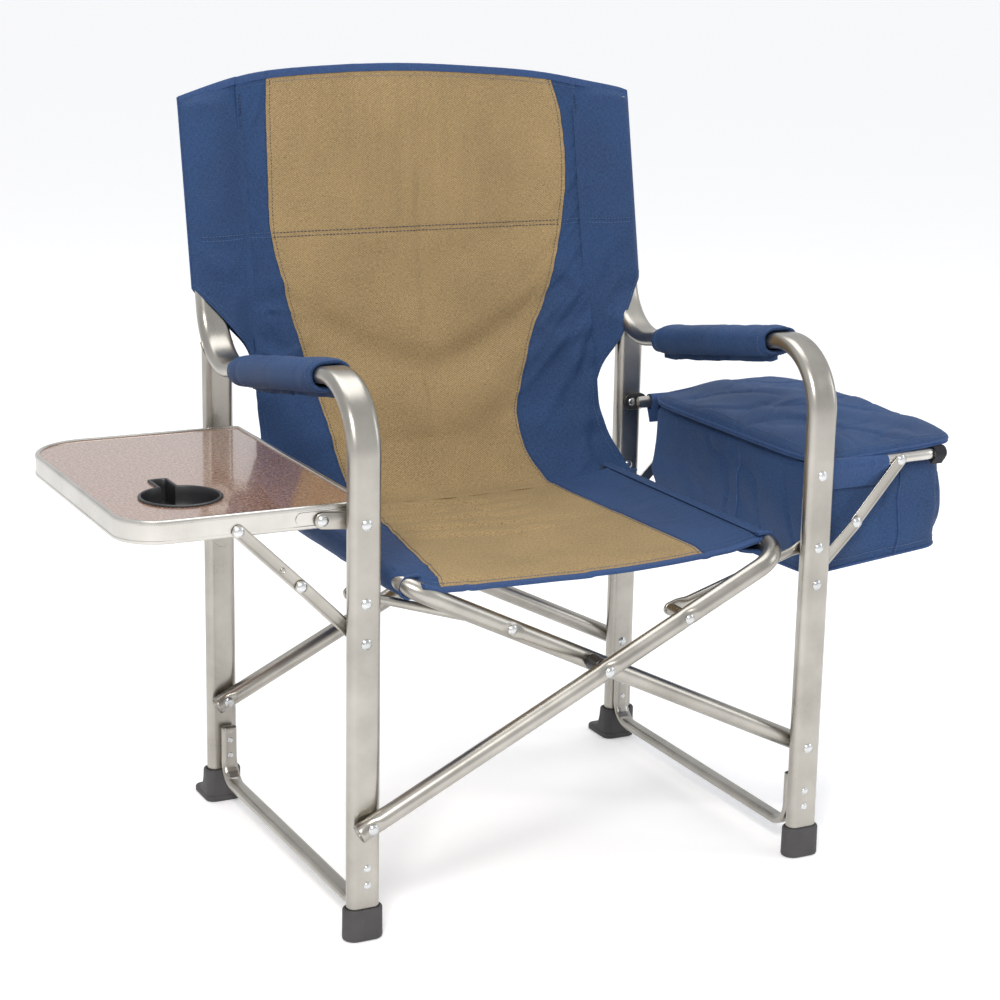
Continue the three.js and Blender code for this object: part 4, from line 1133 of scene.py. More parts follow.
# Pitch, length and width of the stitches in hems.
FINE_GAUGE, HEM_GAUGE = (3.6, 2.5, 0.6), (3.8, 2.7, 0.6)
WIDE_HEM_GAUGE = (3.8, 2.7, 0.7)
spine = curve_through(BACK_PROFILE, BACK_ROWS)
spine_s = run_along(spine)
height = spine[:, 1]
edge_left = -by_height(height, [(403, 246), (430, 241), (466, 237), (525, 237), (560, 236), (700, 236),
                                (886, 236)])
edge_right = by_height(height, [(403, 262), (418, 252), (434, 245), (466, 237), (525, 237), (560, 236),
                                (700, 236), (886, 236)])
tan_left = -by_height(height, [(403, 126), (433, 133), (480, 142), (570, 168), (620, 179), (666, 187),
                               (708, 196), (772, 196), (832, 196), (886, 195)])
tan_right = by_height(height, [(403, 141), (431, 126), (475, 121), (522, 134), (577, 154), (616, 176),
                               (671, 195), (714, 206), (758, 214), (806, 216), (853, 209), (886, 196)])
x = panels([edge_left, tan_left, tan_right, edge_right], (WING, MIDDLE, WING))
half = np.where(x < 0, -edge_left[:, None], edge_right[:, None])
share = np.abs(x) / half
s_share = (spine_s / spine_s[-1])[:, None]
rise = np.clip((height[:, None] - 640) / (886 - 640), 0, 1) ** 2.5
arch = (top_edge(x) - 886) * rise
give = 7.0 * smooth(height, 430,
                    560)[:, None] * (1 - smooth(height, 700, 880)[:, None] * 0.6) * (1 - share**2)
low_sag = 12 * (1 - smooth(height, RAIL_TOP, 470)[:, None]) * (1 - np.clip(share, 0, 1) ** 2)
z = height[:, None] + arch - low_sag
y = spine[:, 0][:, None] + give
back_sheet = Sheet(np.stack([x, y, z], -1), np.stack([x, np.broadcast_to(spine_s[:, None], x.shape)], -1))
pins = np.zeros(x.shape)
pins[height > LEFT_FOOT[0][1], 0] = 1
pins[height > RIGHT_FOOT[0][1], -1] = 1
pins[:2] = 1
pins[-1] = 1
simulate(back_sheet, pins, 0.012, gravity=0.35)
# Pulls run from the waist's free edges up to the foot of each sleeve.
X, Z = back_sheet.p[..., 0], back_sheet.p[..., 2]
wing = smooth(np.abs(X) / half, 0.45, 0.95)
# A broad smile-shaped fold where the taut top half meets the slack waist.
trough_z = 532 + 92 * (np.abs(X - 8) / 185.0) ** 1.5
trough = np.exp(-((Z - trough_z) / 24.0) ** 2) * smooth(1 - np.abs(X) / 215.0, 0.0, 0.45)
swell = np.exp(-((Z - trough_z + 52) / 34.0) ** 2) * smooth(1 - np.abs(X) / 215.0, 0.0, 0.6)
back_sheet.p[..., 1] += 9.0 * trough - 4.5 * swell
top_pucker = (np.exp(-((X + 82) / 9.0) ** 2) * smooth(Z, 840, 905)
              - 0.6 * np.exp(-((X + 60) / 12.0) ** 2) * smooth(Z, 830, 905))
back_sheet.p[..., 1] += 2.4 * top_pucker
pull = np.exp(-((Z - 600) / 66.0) ** 2) * wing
ridge = np.sin((Z - np.abs(X) * 0.85) / 7.5 + 2.2 * cloudy(X, Z, 5, 45)) * pull * 2.8
soft = 2.0 * cloudy(X, Z, 8, 62) + 0.7 * cloudy(X * 0.5, Z, 9, 26) * smooth(Z, 900, 560)
folds = (5.0 * creased(X * 0.55 + Z * 0.6, Z - X * 0.2, 12, 58) * pull
         + 2.2 * creased(X, Z * 0.5, 13, 80) * wing)
crumple = np.exp(-((Z - 455) / 40.0) ** 2) * np.sin(Z / 9 + 2.5 * cloudy(X, Z, 15, 60)) * (0.5 + 0.9 * wing)
fade = smooth(np.minimum(1 - s_share, s_share), 0.0, 0.05)
# Where the edge is sewn to a sleeve, it stays on the seam.
fade = fade * (1 - smooth(Z, 560, 610) * (1 - smooth(half - np.abs(X), 2, 26)))
back_sheet.p += back_sheet.normals() * ((ridge + soft + crumple + folds) * fade)[..., None]
# The seams draw the cloth in along the colour boundaries and the stitched rows.
seam_gap = columns_to_seam(x.shape)
STITCH_Z = 712.0
puckers = -0.9 * np.exp(-(seam_gap / 1.1) ** 2) * (1 + 0.5 * np.sin(spine_s / 3.4)[:, None])
across_row = np.exp(-((height[:, None] - STITCH_Z) / 4.0) ** 2) * (np.abs(x) < 300)
puckers -= 0.9 * across_row * (1 + 0.5 * np.sin(x / 4.5))
front_is = -1.0 if back_sheet.normals()[60, 50, 1] > 0 else 1.0
back_sheet.p += back_sheet.normals() * (front_is * puckers)[..., None]

thick = 1.1 + 1.0 * (seam_gap < 1.5)
col = np.arange(x.shape[1])
edge_gap = np.minimum(col, x.shape[1] - 1 - col)[None, :] * np.ones(x.shape)
thick = thick + 0.9 * (edge_gap < 1.5)
back = Part()
back_sheet.build(back, thick, panel_slots(x.shape), front_is)
back_obj = back.make("back_cloth", [NAVY, TAN], "table_side_frame", ["back_panel"], "tan_fabric", sharp=60)

threads = Part()
row_line = np.linspace(0, BACK_ROWS - 1, 700)
for column in SEAM_STITCHES:
    sew(threads, back_sheet, row_line, column, front_is)
row_at = np.interp(STITCH_Z, height, np.arange(BACK_ROWS))
row_mm = (BACK_ROWS - 1) / spine_s[-1]
for shift in ROW_SHIFTS:
    sew(threads, back_sheet, row_at + shift * row_mm, np.linspace(WING, WING + MIDDLE, 400), front_is, 4.8,
        3.5, 1.1)
pocket_rows = np.linspace(row_at, BACK_ROWS - 5, 300)
for column in (2.0, 3.2, x.shape[1] - 3.0, x.shape[1] - 4.2):
    sew(threads, back_sheet, pocket_rows, column, front_is, 4.0, 3.0, 0.95)
for shift in ROW_SHIFTS:
    for a, b in ((0.5, WING), (WING + MIDDLE, x.shape[1] - 1.5)):
        sew(threads, back_sheet, row_at + shift * row_mm, np.linspace(a, b, 60), front_is, 4.2, 3.0, 0.75,
            slot=1)
# Hem rows along the free waist edges, and under the top binding.
low_rows = np.linspace(2, np.interp(RIGHT_FOOT[0][1], height, np.arange(BACK_ROWS)), 300)
for column in (1.6, x.shape[1] - 2.6):
    sew(threads, back_sheet, low_rows, column, front_is, *FINE_GAUGE, slot=1)
top_row = BACK_ROWS - 1 - 11 * row_mm
sew(threads, back_sheet, top_row, np.linspace(0.5, x.shape[1] - 1.5, 500), front_is, *FINE_GAUGE, slot=1)
threads_obj = threads.make("back_stitches", [THREAD, PALE_THREAD], "table_side_frame", sharp=80)

# A folded tape binds the top edge.
line, normal = grid_line(back_sheet, BACK_ROWS - 1.01, np.linspace(0, x.shape[1] - 1.02, 240))
tape = Part()


def bound_edge(part, line, into, facing, deep, wide):
    """Tape folded over an edge: into points from the edge back onto the cloth, facing out of its face."""
    into = into / np.linalg.norm(into, axis=1)[:, None]
    facing = facing / np.linalg.norm(facing, axis=1)[:, None]
    shape = [(deep, wide * 0.55), (deep * 0.97, wide * 0.95), (deep * 0.6, wide), (1.0, wide),
             (-0.6, wide * 0.8), (-1.3, 0.0),
             (-0.6, -wide * 0.8), (1.0, -wide), (deep * 0.6, -wide), (deep * 0.97, -wide * 0.95),
             (deep, -wide * 0.55)]
    rings = np.stack([line + into * a + facing * b for a, b in shape], 1)
    run = run_along(line)
    uv = np.stack([np.broadcast_to(run[:, None], rings.shape[:2]),
                   np.broadcast_to(np.arange(len(shape)) * 2.0, rings.shape[:2])], -1)
    part.loft(rings, 0, True, True, uv=uv.reshape(-1, 2) * MM)


down = grid_line(back_sheet, BACK_ROWS - 4.0, np.linspace(0, x.shape[1] - 1.02, 240))[0] - line
bound_edge(tape, line + normal * front_is * -0.6, down, normal * front_is, 8.5, 2.1)
tape_obj = tape.make("back_top_binding", BINDING, "table_side_frame", sharp=50)

# ------------------------------------------------------------------ back sleeves
def back_sleeve(label, side):
    """A pocket of cloth, stitched along its inner edge, that slips down over the upright."""
    rows, around = 90, 72
    foot = curve_through(LEFT_FOOT if side < 0 else RIGHT_FOOT, 60)
    # Section: front layer from the seam out over the tube, then the rear layer back.
    knots = np.array([(229.5, 2.0), (237.0, 0.5), (247, -3.8), (264, -9.6), (276, -11.8), (290, -12.2),
                      (302, -10.6), (309.0, -4.4), (309.4, 4.0),
                      (302, 10.4), (290, 11.8), (274, 11.4), (254, 6.8), (238, 3.6)])
    loop = curve_through(closed(knots), around + 1)[:-1]
    rings, flat = [], []
    perimeter = run_along(loop)
    low = np.interp(loop[:, 0], foot[:, 0], foot[:, 1])
    top = top_edge(side * loop[:, 0])
    bend_start = CORNER_Z + FRAME_BEND * 0.96
    for k in range(rows):
        v = k / (rows - 1)
        zz = low + (top - low) * v
        px = side * loop[:, 0]
        gather = 0.13 + 0.87 * (1 - smooth(zz, np.minimum(top - 14, BACK_TOP + 3), top - 0.5))
        out = loop[:, 1] * gather
        loose = smooth(np.abs(out), 1, 8)
        fold = 1.6 * np.sin((zz - loop[:, 0] * 0.7) / 8.5
                            + 2.4 * cloudy(loop[:, 0], zz, 21 + side, 40)) * (1 - smooth(zz, 640, 745))
        ripple = 1.3 * cloudy(loop[:, 0], zz * 0.8, 31 + side, 26)
        puff = np.where(loop[:, 0] > 262, np.maximum(fold + ripple, -0.5), fold + ripple)
        out = out + np.sign(loop[:, 1]) * puff * loose
        stitched = np.exp(-((zz - STITCH_Z) / 4.0) ** 2) * (loop[:, 1] < 0) * (loop[:, 0] < 264)
        out = out + 0.7 * stitched * loose
        bend = np.clip(bend_start - zz, 0, 60)
        ahead = np.minimum(FRAME_BEND - np.sqrt(FRAME_BEND**2 - bend**2), 13) * smooth(loop[:, 0], 242, 272)
        rings.append(np.stack([px, back_y(zz) + out - ahead, zz], 1))
        flat.append(np.stack([perimeter, zz], 1))
    rings = np.array(rings)
    middles = rings.mean(1, keepdims=True)
    inner = rings * [0, 0, 1] + (middles + (rings - middles) * 0.98) * [1, 1, 0]
    part = Part()
    part.loft(rings, 0, False, True, uv=np.array(flat).reshape(-1, 2) * MM)
    part.loft(inner[:20], 0, uv=np.array(flat)[:20].reshape(-1, 2) * MM)
    lip = np.stack([rings[0], rings[0] - [0, 0, 1.2], inner[0] - [0, 0, 1.2], inner[0]])
    part.loft(lip, 0)
    obj = part.make(f"{label}_sleeve_cloth", NAVY, f"{label}_frame", [f"{label}_back_sleeve"], "navy_fabric",
                    sharp=60)
    seams = Part()
    front = [i for i in np.argsort(loop[:, 0]) if loop[i, 1] < 0.1]
    across_z = np.array([[np.interp(STITCH_Z, rings[:, i, 2], rings[:, i, k]) for k in range(3)]
                         for i in front])
    across_z = across_z[across_z[:, 0] * side < 300]
    for shift in ROW_SHIFTS:
        stitch_row(seams, across_z + [0, -0.3, shift], np.tile([0, -1.0, 0.2], (len(across_z), 1)), 4.2, 3.0,
                   0.7, slot=1)
    hem = rings[0] * 0.55 + rings[3] * 0.45 + [0, 0, 2.0]
    outward = rings[0] - rings[0].mean(0)
    outward[:, 2] = 0
    stitch_row(seams, closed(hem), closed(outward), *FINE_GAUGE, slot=1)
    seams_obj = seams.make(f"{label}_sleeve_stitches", [THREAD, PALE_THREAD], f"{label}_frame", sharp=80)
    cap = Part()
    along = side * np.linspace(234, 309.5, 40)
    ridge_line = np.stack([along, back_y(top_edge(along)), top_edge(along)], 1)
    bound_edge(cap, ridge_line, np.tile([0, -0.19, -1.0], (40, 1)), np.tile([0, -1.0, 0.19], (40, 1)), 8.5,
               2.6)
    edge = np.argmax(loop[:, 0])
    outer_line = rings[:, edge] + [side * 0.3, 0, 0]
    piping(cap, outer_line, 1.3)
    cap_obj = cap.make(f"{label}_sleeve_binding", BINDING, f"{label}_frame", sharp=50)


back_sleeve("table_side", -1)
back_sleeve("cooler_side", 1)
for piece in (back_obj, threads_obj, tape_obj):
    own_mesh(piece)


# ------------------------------------------------------------------ seat cloth
SEAT_ROWS = 96
seat_front, seat_rear = -213.0, 172.0
seat_y = np.linspace(seat_rear, seat_front, SEAT_ROWS)


def rail_drift(y, front_y):
    """How far a bar has left its rail line at depth y in its front bend, sideways and down."""
    depth = np.clip((front_y + BAR_BEND) - y, 0, BAR_BEND * 0.92)
    along = BAR_BEND * (1 - np.cos(np.arcsin(depth / BAR_BEND)))
    tilt = math.atan(bar_slope)
    return along * math.cos(tilt), along * math.sin(tilt)


drift_b, drop_b = rail_drift(seat_y, bar_y("b", -1))
drift_a, drop_a = rail_drift(seat_y, bar_y("a", -1))
left, right_edge = -RAIL_X + drift_b, RAIL_X - drift_a
front_share = (seat_rear - seat_y) / (seat_rear - seat_front)
tan_l = -curve_through([(0, 121), (0.25, 122), (0.5, 130), (0.75, 152), (1.0, 186)], SEAT_ROWS)[:, 1]
tan_r = curve_through([(0, 142), (0.35, 140), (0.7, 143), (1.0, 150)], SEAT_ROWS)[:, 1]
x = panels([left, tan_l, tan_r, right_edge], (WING, MIDDLE, WING))
u = (x - left[:, None]) / (right_edge - left)[:, None]
sag = 4 * u * (1 - u)
edge_drop = (1 - u) * drop_b[:, None] + u * drop_a[:, None]
front_curl = 3.0 * smooth(front_share, 0.93, 1.0)[:, None]
rear_tuck = 12.0 * (1 - smooth(front_share, 0.0, 0.06))[:, None]
z = RAIL_TOP + 1.4 - 12.0 * sag - edge_drop * (1 - sag * 0.4) - front_curl - rear_tuck
bow = 5.0 * sag * smooth(front_share, 0.6, 1.0)[:, None]
y = np.broadcast_to(seat_y[:, None], x.shape) + bow
run = np.broadcast_to((seat_rear - seat_y)[:, None], x.shape)
seat_sheet = Sheet(np.stack([x, y, z], -1), np.stack([x, run], -1))
pins = np.zeros(x.shape)
pins[:, 0] = pins[:, -1] = 1
pins[0] = 1
simulate(seat_sheet, pins, 0.006, gravity=0.25, cap=7)
X, Y = seat_sheet.p[..., 0], seat_sheet.p[..., 1]
crease_at = Y + 7 * cloudy(X, Y, 41, 110) + 0.05 * X
bands = -sum(4.2 * np.exp(-((crease_at - at) / 4.4) ** 2) - 2.6 * np.exp(-((crease_at - at - 13) / 8.0) ** 2)
             for at in (118, 86, 52, 14, -30))
bands = bands * (1 - smooth(X, -40, 120)) * smooth(u, 0.12, 0.3)
soft = 1.1 * cloudy(X, Y, 43,
                    55) * sag + 0.8 * np.sin((Y - X * 0.6) / 8
                                             + cloudy(X, Y, 44, 40) * 2) * np.exp(-((u - 0.05) / 0.12) ** 2)
side_folds = 1.6 * creased(X, Y, 46, 60) * smooth(np.abs(X), 125,
                                                  165) * smooth(u, 0.03, 0.1) * smooth(1 - u, 0.03, 0.1)
rear_pull = 0.9 * np.sin(X / 8.0 + cloudy(X, Y, 45, 50)) * np.exp(-(front_share[:, None] / 0.09) ** 2)
up_is = 1.0 if seat_sheet.normals()[40, 40, 2] > 0 else -1.0
seam_gap = columns_to_seam(x.shape)
seat_sheet.p += seat_sheet.normals() * (up_is * (bands + soft + rear_pull + side_folds
                                                 - 0.8 * np.exp(-(seam_gap / 1.1) ** 2)))[..., None]
front_gap = (SEAT_ROWS - 1 - np.arange(SEAT_ROWS))[:, None] * np.ones(x.shape)
thick = 1.2 + 0.9 * (seam_gap < 1.5) + 1.4 * (front_gap < 4)
seat = Part()
seat_sheet.build(seat, thick, panel_slots(x.shape), up_is)
seat_obj = seat.make("seat_cloth", [NAVY, TAN], "seat", ["seat_sling"], "tan_fabric", sharp=60)
threads = Part()
row_line = np.linspace(0, SEAT_ROWS - 1, 500)
for column in SEAM_STITCHES:
    sew(threads, seat_sheet, row_line, column, up_is)
front_line = np.linspace(0.5, x.shape[1] - 1.5, 500)
sew(threads, seat_sheet, SEAT_ROWS - 4.4, front_line, up_is, *WIDE_HEM_GAUGE, slot=1)
for column in (3.4, x.shape[1] - 4.4):
    sew(threads, seat_sheet, np.linspace(1, SEAT_ROWS - 2, 400), column, up_is, *HEM_GAUGE, slot=1)
seat_threads = threads.make("seat_stitches", [THREAD, PALE_THREAD], "seat", sharp=80)
tape = Part()
line, normal = grid_line(seat_sheet, SEAT_ROWS - 1.01, np.linspace(0, x.shape[1] - 1.02, 200))
into = grid_line(seat_sheet, SEAT_ROWS - 4.0, np.linspace(0, x.shape[1] - 1.02, 200))[0] - line
bound_edge(tape, line - normal * up_is * 1.0, into, normal * up_is, 7.0, 2.2)
seat_tape = tape.make("seat_front_binding", BINDING, "seat", sharp=50)
for piece in (seat_obj, seat_threads, seat_tape):
    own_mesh(piece)


def seat_hem(label, letter, side):
    """The seat's edge, folded right round a rail and stitched to itself underneath."""
    body = f"cross_bar_{letter}"
    front_y = bar_y(letter, -1)
    stops = np.linspace(seat_rear + 1, seat_front + (17 if letter == "b" else 3), 90)
    drift, drop = rail_drift(stops, front_y)
    angles = np.radians(np.linspace(98, -128, 34))
    rings, flat = [], []
    for k, (yy, dx, dz) in enumerate(zip(stops, drift, drop)):
        r = BAR_D / 2 + 1.35 + 0.35 * cloudy(np.degrees(angles) * 0.6, yy, 51 + side, 17)
        cx, cz = side * (RAIL_X - dx), RAIL_Z - dz
        arc_points = [(cx + side * rr * math.cos(a), cz + rr * math.sin(a)) for a, rr in zip(angles, r)]
        px, pz = arc_points[-1]
        tail = [(px - side * t * 3.4, pz + 1.5 * math.sin(t) * 0.2 + t * 0.55 - 0.6) for t in range(1, 9)]
        head = [(cx - side * t * 4.0, cz + BAR_D / 2 + 1.6 - 0.25 * t) for t in (3, 2, 1)]
        section = head + arc_points + tail
        rings.append([(a, yy, b) for a, b in section])
        flat.append([(yy, 2.0 * i) for i in range(len(section))])
    sheet = Sheet(rings, flat)
    out_is = 1.0 if (sheet.normals()[40, 15] @ [side, 0, 0.2]) > 0 else -1.0
    part = Part()
    sheet.build(part, 1.0, np.zeros((len(rings) - 1, len(rings[0]) - 1), int), out_is)
    obj = part.make(f"{label}_seat_hem", NAVY, body, slot="navy_fabric", sharp=60)
    trim = Part()
    line, normal = sheet.p[-1], sheet.normals()[-1] * out_is
    bound_edge(trim, line + [0, -0.4, 0], np.tile([0, 1.0, 0], (len(line), 1)), normal, 8.0, 1.9)
    stitch_row(trim, sheet.p[:, -5], sheet.normals()[:, -5] * out_is, *HEM_GAUGE, slot=1)
    trim_obj = trim.make(f"{label}_seat_hem_binding", [BINDING, PALE_THREAD], body, sharp=50)


seat_hem("table_side", "b", -1)
seat_hem("cooler_side", "a", 1)


# ------------------------------------------------------------------ arm pads
def arm_pad(label, side):
    rows, around = 110, 72
    y0, y1 = -133.0, 127.0
    angle = np.arange(around) * 2 * math.pi / around
    rings, flat = [], []
    cx = side * LEG_X
    for k in range(rows):
        v = k / (rows - 1)
        yy = y0 + (y1 - y0) * v
        ends = smooth(min(v, 1 - v), 0.0, 0.07)
        w = 23.8 + 2.0 * ends
        t = 15.0 + 2.6 * ends
        power = 0.78
        sx = np.sign(np.cos(angle)) * np.abs(np.cos(angle)) ** power * w
        sz = np.sign(np.sin(angle)) * np.abs(np.sin(angle)) ** power * t
        under = smooth(-np.sin(angle), 0.1, 0.9)
        sz = sz - 2.4 * under
        creases = (0.55 * np.sin(yy / 5.2 + 3 * cloudy(angle * 14, yy, 61 + side, 17))
                   * smooth(abs(v - 0.5), 0.2, 0.5))
        soft = 0.9 * cloudy(angle * 14, yy, 71 + side, 24) + creases
        rings.append(np.stack([cx + sx + soft * np.cos(angle), np.full(around, yy),
                               arm_z(yy) + sz + soft * np.sin(angle)], 1))
        flat.append(np.stack([angle * 21, np.full(around, yy)], 1))
    rings = np.array(rings)
    centre = np.stack([np.full(rows, cx), np.linspace(y0, y1, rows), arm_z(np.linspace(y0, y1, rows))], 1)
    part = Part()

    def turned_in(end, inward):
        """Rings that close an end of the pad in on the tube, from the innermost out."""
        ring = rings[end] - centre[end]
        size = np.linalg.norm(ring, axis=1, keepdims=True)
        return [centre[end] + ring * np.maximum(0.3, (size - shrink * 0.62) / size)
                + [0, inward * move, -inward * move * slope]
                for shrink, move in ((7.5, 16.0), (7.0, 3.0), (5.0, 0.8), (2.8, 0.0), (1.0, 0.2))]

    all_rings = turned_in(0, 1) + list(rings) + turned_in(-1, -1)[::-1]
    all_flat = [flat[0]] * 5 + flat + [flat[-1]] * 5
    part.loft(all_rings, 0, uv=np.array(all_flat).reshape(-1, 2) * MM)
    obj = part.make(f"{label}_padded_arm", NAVY, f"{label}_frame", [f"{label}_arm_pad"], "navy_fabric",
                    sharp=70)
    fin = Part()
    low = rings[:, int(around * 0.75) + 1]
    fin_line = low + [-side * 6.0, 0, 1.0]
    still = np.zeros(rows)
    waver = np.stack([cloudy(fin_line[:, 1], still, 81, 21), still, still], 1)
    fin_rows = [fin_line + [0, 0, -k * 1.9] + 0.8 * k * waver for k in range(5)]
    sheet = Sheet(np.array(fin_rows).transpose(1, 0, 2),
                  np.stack(np.meshgrid(fin_line[:, 1], np.arange(5) * 2.0, indexing="ij"), -1))
    sheet.build(fin, 1.6, np.zeros((rows - 1, 4), int))
    stitch_row(fin, sheet.p[:, 3] + [-side * 0.2, 0, 0], np.tile([-1.0, 0, 0], (rows, 1)), *FINE_GAUGE,
               slot=1)
    for end in (4, -5):
        stitch_row(fin, closed(rings[end]), closed(rings[end] - centre[end]), *FINE_GAUGE, slot=1)
    fin.make(f"{label}_arm_seam", [NAVY, PALE_THREAD], f"{label}_frame", sharp=60)


arm_pad("table_side", -1)
arm_pad("cooler_side", 1)


# ------------------------------------------------------------------ cooler
def cooler_tube_z(x):
    return HARDWARE_Z + (x - COOLER_HINGE_X) * COOLER_RISE


tube_part = Part()
inner_x = COOLER_HINGE_X - 7
path = bent([(inner_x, -COOLER_Y, cooler_tube_z(inner_x)),
             (COOLER_OUTER, -COOLER_Y, cooler_tube_z(COOLER_OUTER)),
             (COOLER_OUTER, COOLER_Y, cooler_tube_z(COOLER_OUTER)),
             (inner_x, COOLER_Y, cooler_tube_z(inner_x))], COOLER_BEND, 5, 5)
near_end = np.minimum(np.linalg.norm(path - path[0], axis=1), np.linalg.norm(path - path[-1], axis=1))
flat_end = 1 - smooth(near_end, 16, 30)
tube(tube_part, path, COOLER_TUBE, COOLER_TUBE, (0, 0, 1),
     scale=np.stack([1 + 0.16 * flat_end, 1 - 0.42 * flat_end], 1))
tube_part.make("cooler_support_tube", RIM_METAL, "cooler", ["cooler_frame"], "frame_metal")


def even_plan_ring(cx, cy, hx, hy, r, count):
    """A rounded rectangle with evenly spaced points and their run, from where its +X side ends."""
    quarters = ((1, 1, 0), (-1, 1, 90), (-1, -1, 180), (1, -1, 270))
    corners = corner_arcs([(cx + sx * (hx - r), cy + sy * (hy - r), r, start) for sx, sy, start in quarters],
                          8)
    loop = np.array(corners + corners[:1])
    s = run_along(loop)
    at = np.arange(count) * s[-1] / count
    return np.stack([np.interp(at, s, loop[:, 0]), np.interp(at, s, loop[:, 1])], 1), at


def bag_low(x):
    return BAG_LOW_INNER + (BAG_LOW_OUTER - BAG_LOW_INNER) * (x - BAG_X0) / (BAG_X1 - BAG_X0)


bag = Part()
rings, flat = [], []
count = 260
cx, cy = (BAG_X0 + BAG_X1) / 2, 0.0
for k in range(46):
    v = k / 45  # 0 at the bottom edge, 1 at the rim
    bulge = 5.5 * math.sin(math.pi * min(1, v * 1.02)) ** 0.8 - 1.5
    neck = 3.0 * float(smooth(v, 0.93, 1.0))
    ring, at = even_plan_ring(cx, cy, (BAG_X1 - BAG_X0) / 2 - 5 + bulge * 0.8 - neck,
                              BAG_Y - 6 + bulge - neck * 0.4, 26, count)
    low = bag_low(ring[:, 0]) - 5 * np.cos(ring[:, 1] / BAG_Y * math.pi / 2) * (1 - v)
    zz = low + (BAG_HIGH + 7 - low) * v
    ripple = np.sin(zz / 11 + at / 60 + 3 * cloudy(at, zz, 92, 70))
    depth = 0.4 + np.abs(cloudy(at, zz * 0.3, 93, 80))
    wave = 3.2 * cloudy(at, zz * 1.4, 91, 52) + 2.6 * ripple * smooth(v, 0.95, 0.4) * depth
    wave = wave - 3.4 * creased(at, zz * 0.8 + at * 0.15, 94, 74)
    wave = wave * smooth(min(v, 1 - v), 0.0, 0.12)
    direction = (ring - [cx, cy]) / [(BAG_X1 - BAG_X0) / 2, BAG_Y]
    direction /= np.linalg.norm(direction, axis=1)[:, None]
    ring = ring + direction * wave[:, None]
    rings.append(np.column_stack([ring, zz]))
    flat.append(np.stack([at, zz], 1))
bottom = rings[0]
inside = [np.column_stack([cx + (bottom[:, 0] - cx) * f, bottom[:, 1] * f,
                           bottom[:, 2] - 3 * (1 - f) - (1.0 if f < 0.99 else 0) - 2.0 * (1 - f**4)])
          for f in (0.1, 0.5, 0.8, 0.93, 0.985)]
all_rings = inside + rings
all_flat = [r[:, :2] for r in inside] + flat
bag.loft(all_rings, 0, True, False, uv=np.array(all_flat).reshape(-1, 2) * MM)
inner_rings = [np.column_stack([cx + (r[:, 0] - cx) * 0.965, r[:, 1] * 0.98,
                                np.maximum(r[:, 2], bag_low(r[:, 0]) + 4)]) for r in rings[::-3]]
bag.loft([rings[-1]] + inner_rings, 1, False, True)
bag_obj = bag.make("cooler_bag_shell", [NAVY, PALE_THREAD], "cooler", ["cooler_bag"], "navy_fabric", sharp=60)

seams = Part()
outward = np.column_stack([bottom[:, 0] - cx, bottom[:, 1], np.zeros(count)])
piping(seams, closed(bottom, 2), 1.9)
hem = rings[4] + outward / np.linalg.norm(outward, axis=1)[:, None] * 0.3
stitch_row(seams, closed(hem), closed(outward), *WIDE_HEM_GAUGE, slot=1)
for share in (0.125, 0.375, 0.625, 0.875):
    column = int(round(share * count)) % count
    up_line = np.array([r[column] for r in rings[1:40]])
    piping(seams, up_line + outward[column] / np.linalg.norm(outward[column]) * 0.4, 1.3)
# Cloth loops hang the bag from the tube: long ones by the hinge, webbing by the outer corner.
LOOP_POINTS = 28
ring_angles = np.arange(LOOP_POINTS) * 2 * math.pi / LOOP_POINTS
for end in (-1, 1):
    for loop_x, half_long, drop, slot in ((354.0, 44.0, 20.0, 0), (474.0, 8.0, 5.0, 2)):
        tube_z = cooler_tube_z(loop_x)
        hang = drop * np.clip(-np.sin(ring_angles), 0, 1) ** 2
        pinch = 1 - 0.75 * np.clip(-np.sin(ring_angles), 0, 1) ** 2
        band = []
        for dx, r in ((-half_long, 8.1), (-half_long, 9.0), (half_long, 9.0), (half_long, 8.1)):
            band.append(np.stack([np.full(LOOP_POINTS, loop_x + dx),
                                  end * (COOLER_Y + r * np.cos(ring_angles) * pinch - 0.12 * hang),
                                  tube_z + r * np.sin(ring_angles) - hang], 1))
        seams.loft(np.array(band), slot, around=True)
seams_obj = seams.make("cooler_bag_seams", [BINDING, PALE_THREAD, WEBBING], "cooler", sharp=60)
for piece in (bag_obj, seams_obj):
    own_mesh(piece)

# The lid: a padded flap with a piped edge, hinged along its outer side.
lid = Part()
LID_X0, LID_X1, LID_Y = 303.0, 511.0, 205.0
rows, cols = 96, 60
vv, uu = np.meshgrid(np.linspace(-1, 1, rows), np.linspace(-1, 1, cols), indexing="ij")
# A squircle grid: the corners of the sheet are drawn in round the piped edge.
round_in = 0.12
px = (LID_X0 + LID_X1) / 2 + (LID_X1 - LID_X0) / 2 * uu * (1 - round_in * vv**8 * uu**2)
py = LID_Y * vv * (1 - round_in * 0.6 * uu**8 * vv**2)
base = 475.0 + 15.0 * (px - LID_X0) / (LID_X1 - LID_X0)
dome = np.clip((1 - uu**2) * (1 - vv**2), 0, 1) ** 0.42
crease = 1.5 * np.sin((px * 0.8 + py * 0.5) / 10
                      + 3 * cloudy(px, py, 101, 60)) * np.clip(cloudy(px, py, 102, 70) + 0.3, 0, 1)
folds = creased(px + 0.4 * py, py, 104, 76) + 0.6 * creased(px, py - 0.5 * px, 105, 44)
relief = 3.6 * cloudy(px, py, 103, 58) + 1.6 * crease - 3.6 * folds
top_z = base + 5.5 + 20 * dome + relief * smooth(dome, 0.05, 0.6)
low_z = base + 0.6
lid_sheet = Sheet(np.stack([px, py, top_z], -1), np.stack([px, py], -1))
rim_index = ([(i, 0) for i in range(rows)] + [(rows - 1, j) for j in range(1, cols)]
             + [(i, cols - 1) for i in range(rows - 2, -1, -1)] + [(0, j) for j in range(cols - 2, 0, -1)])
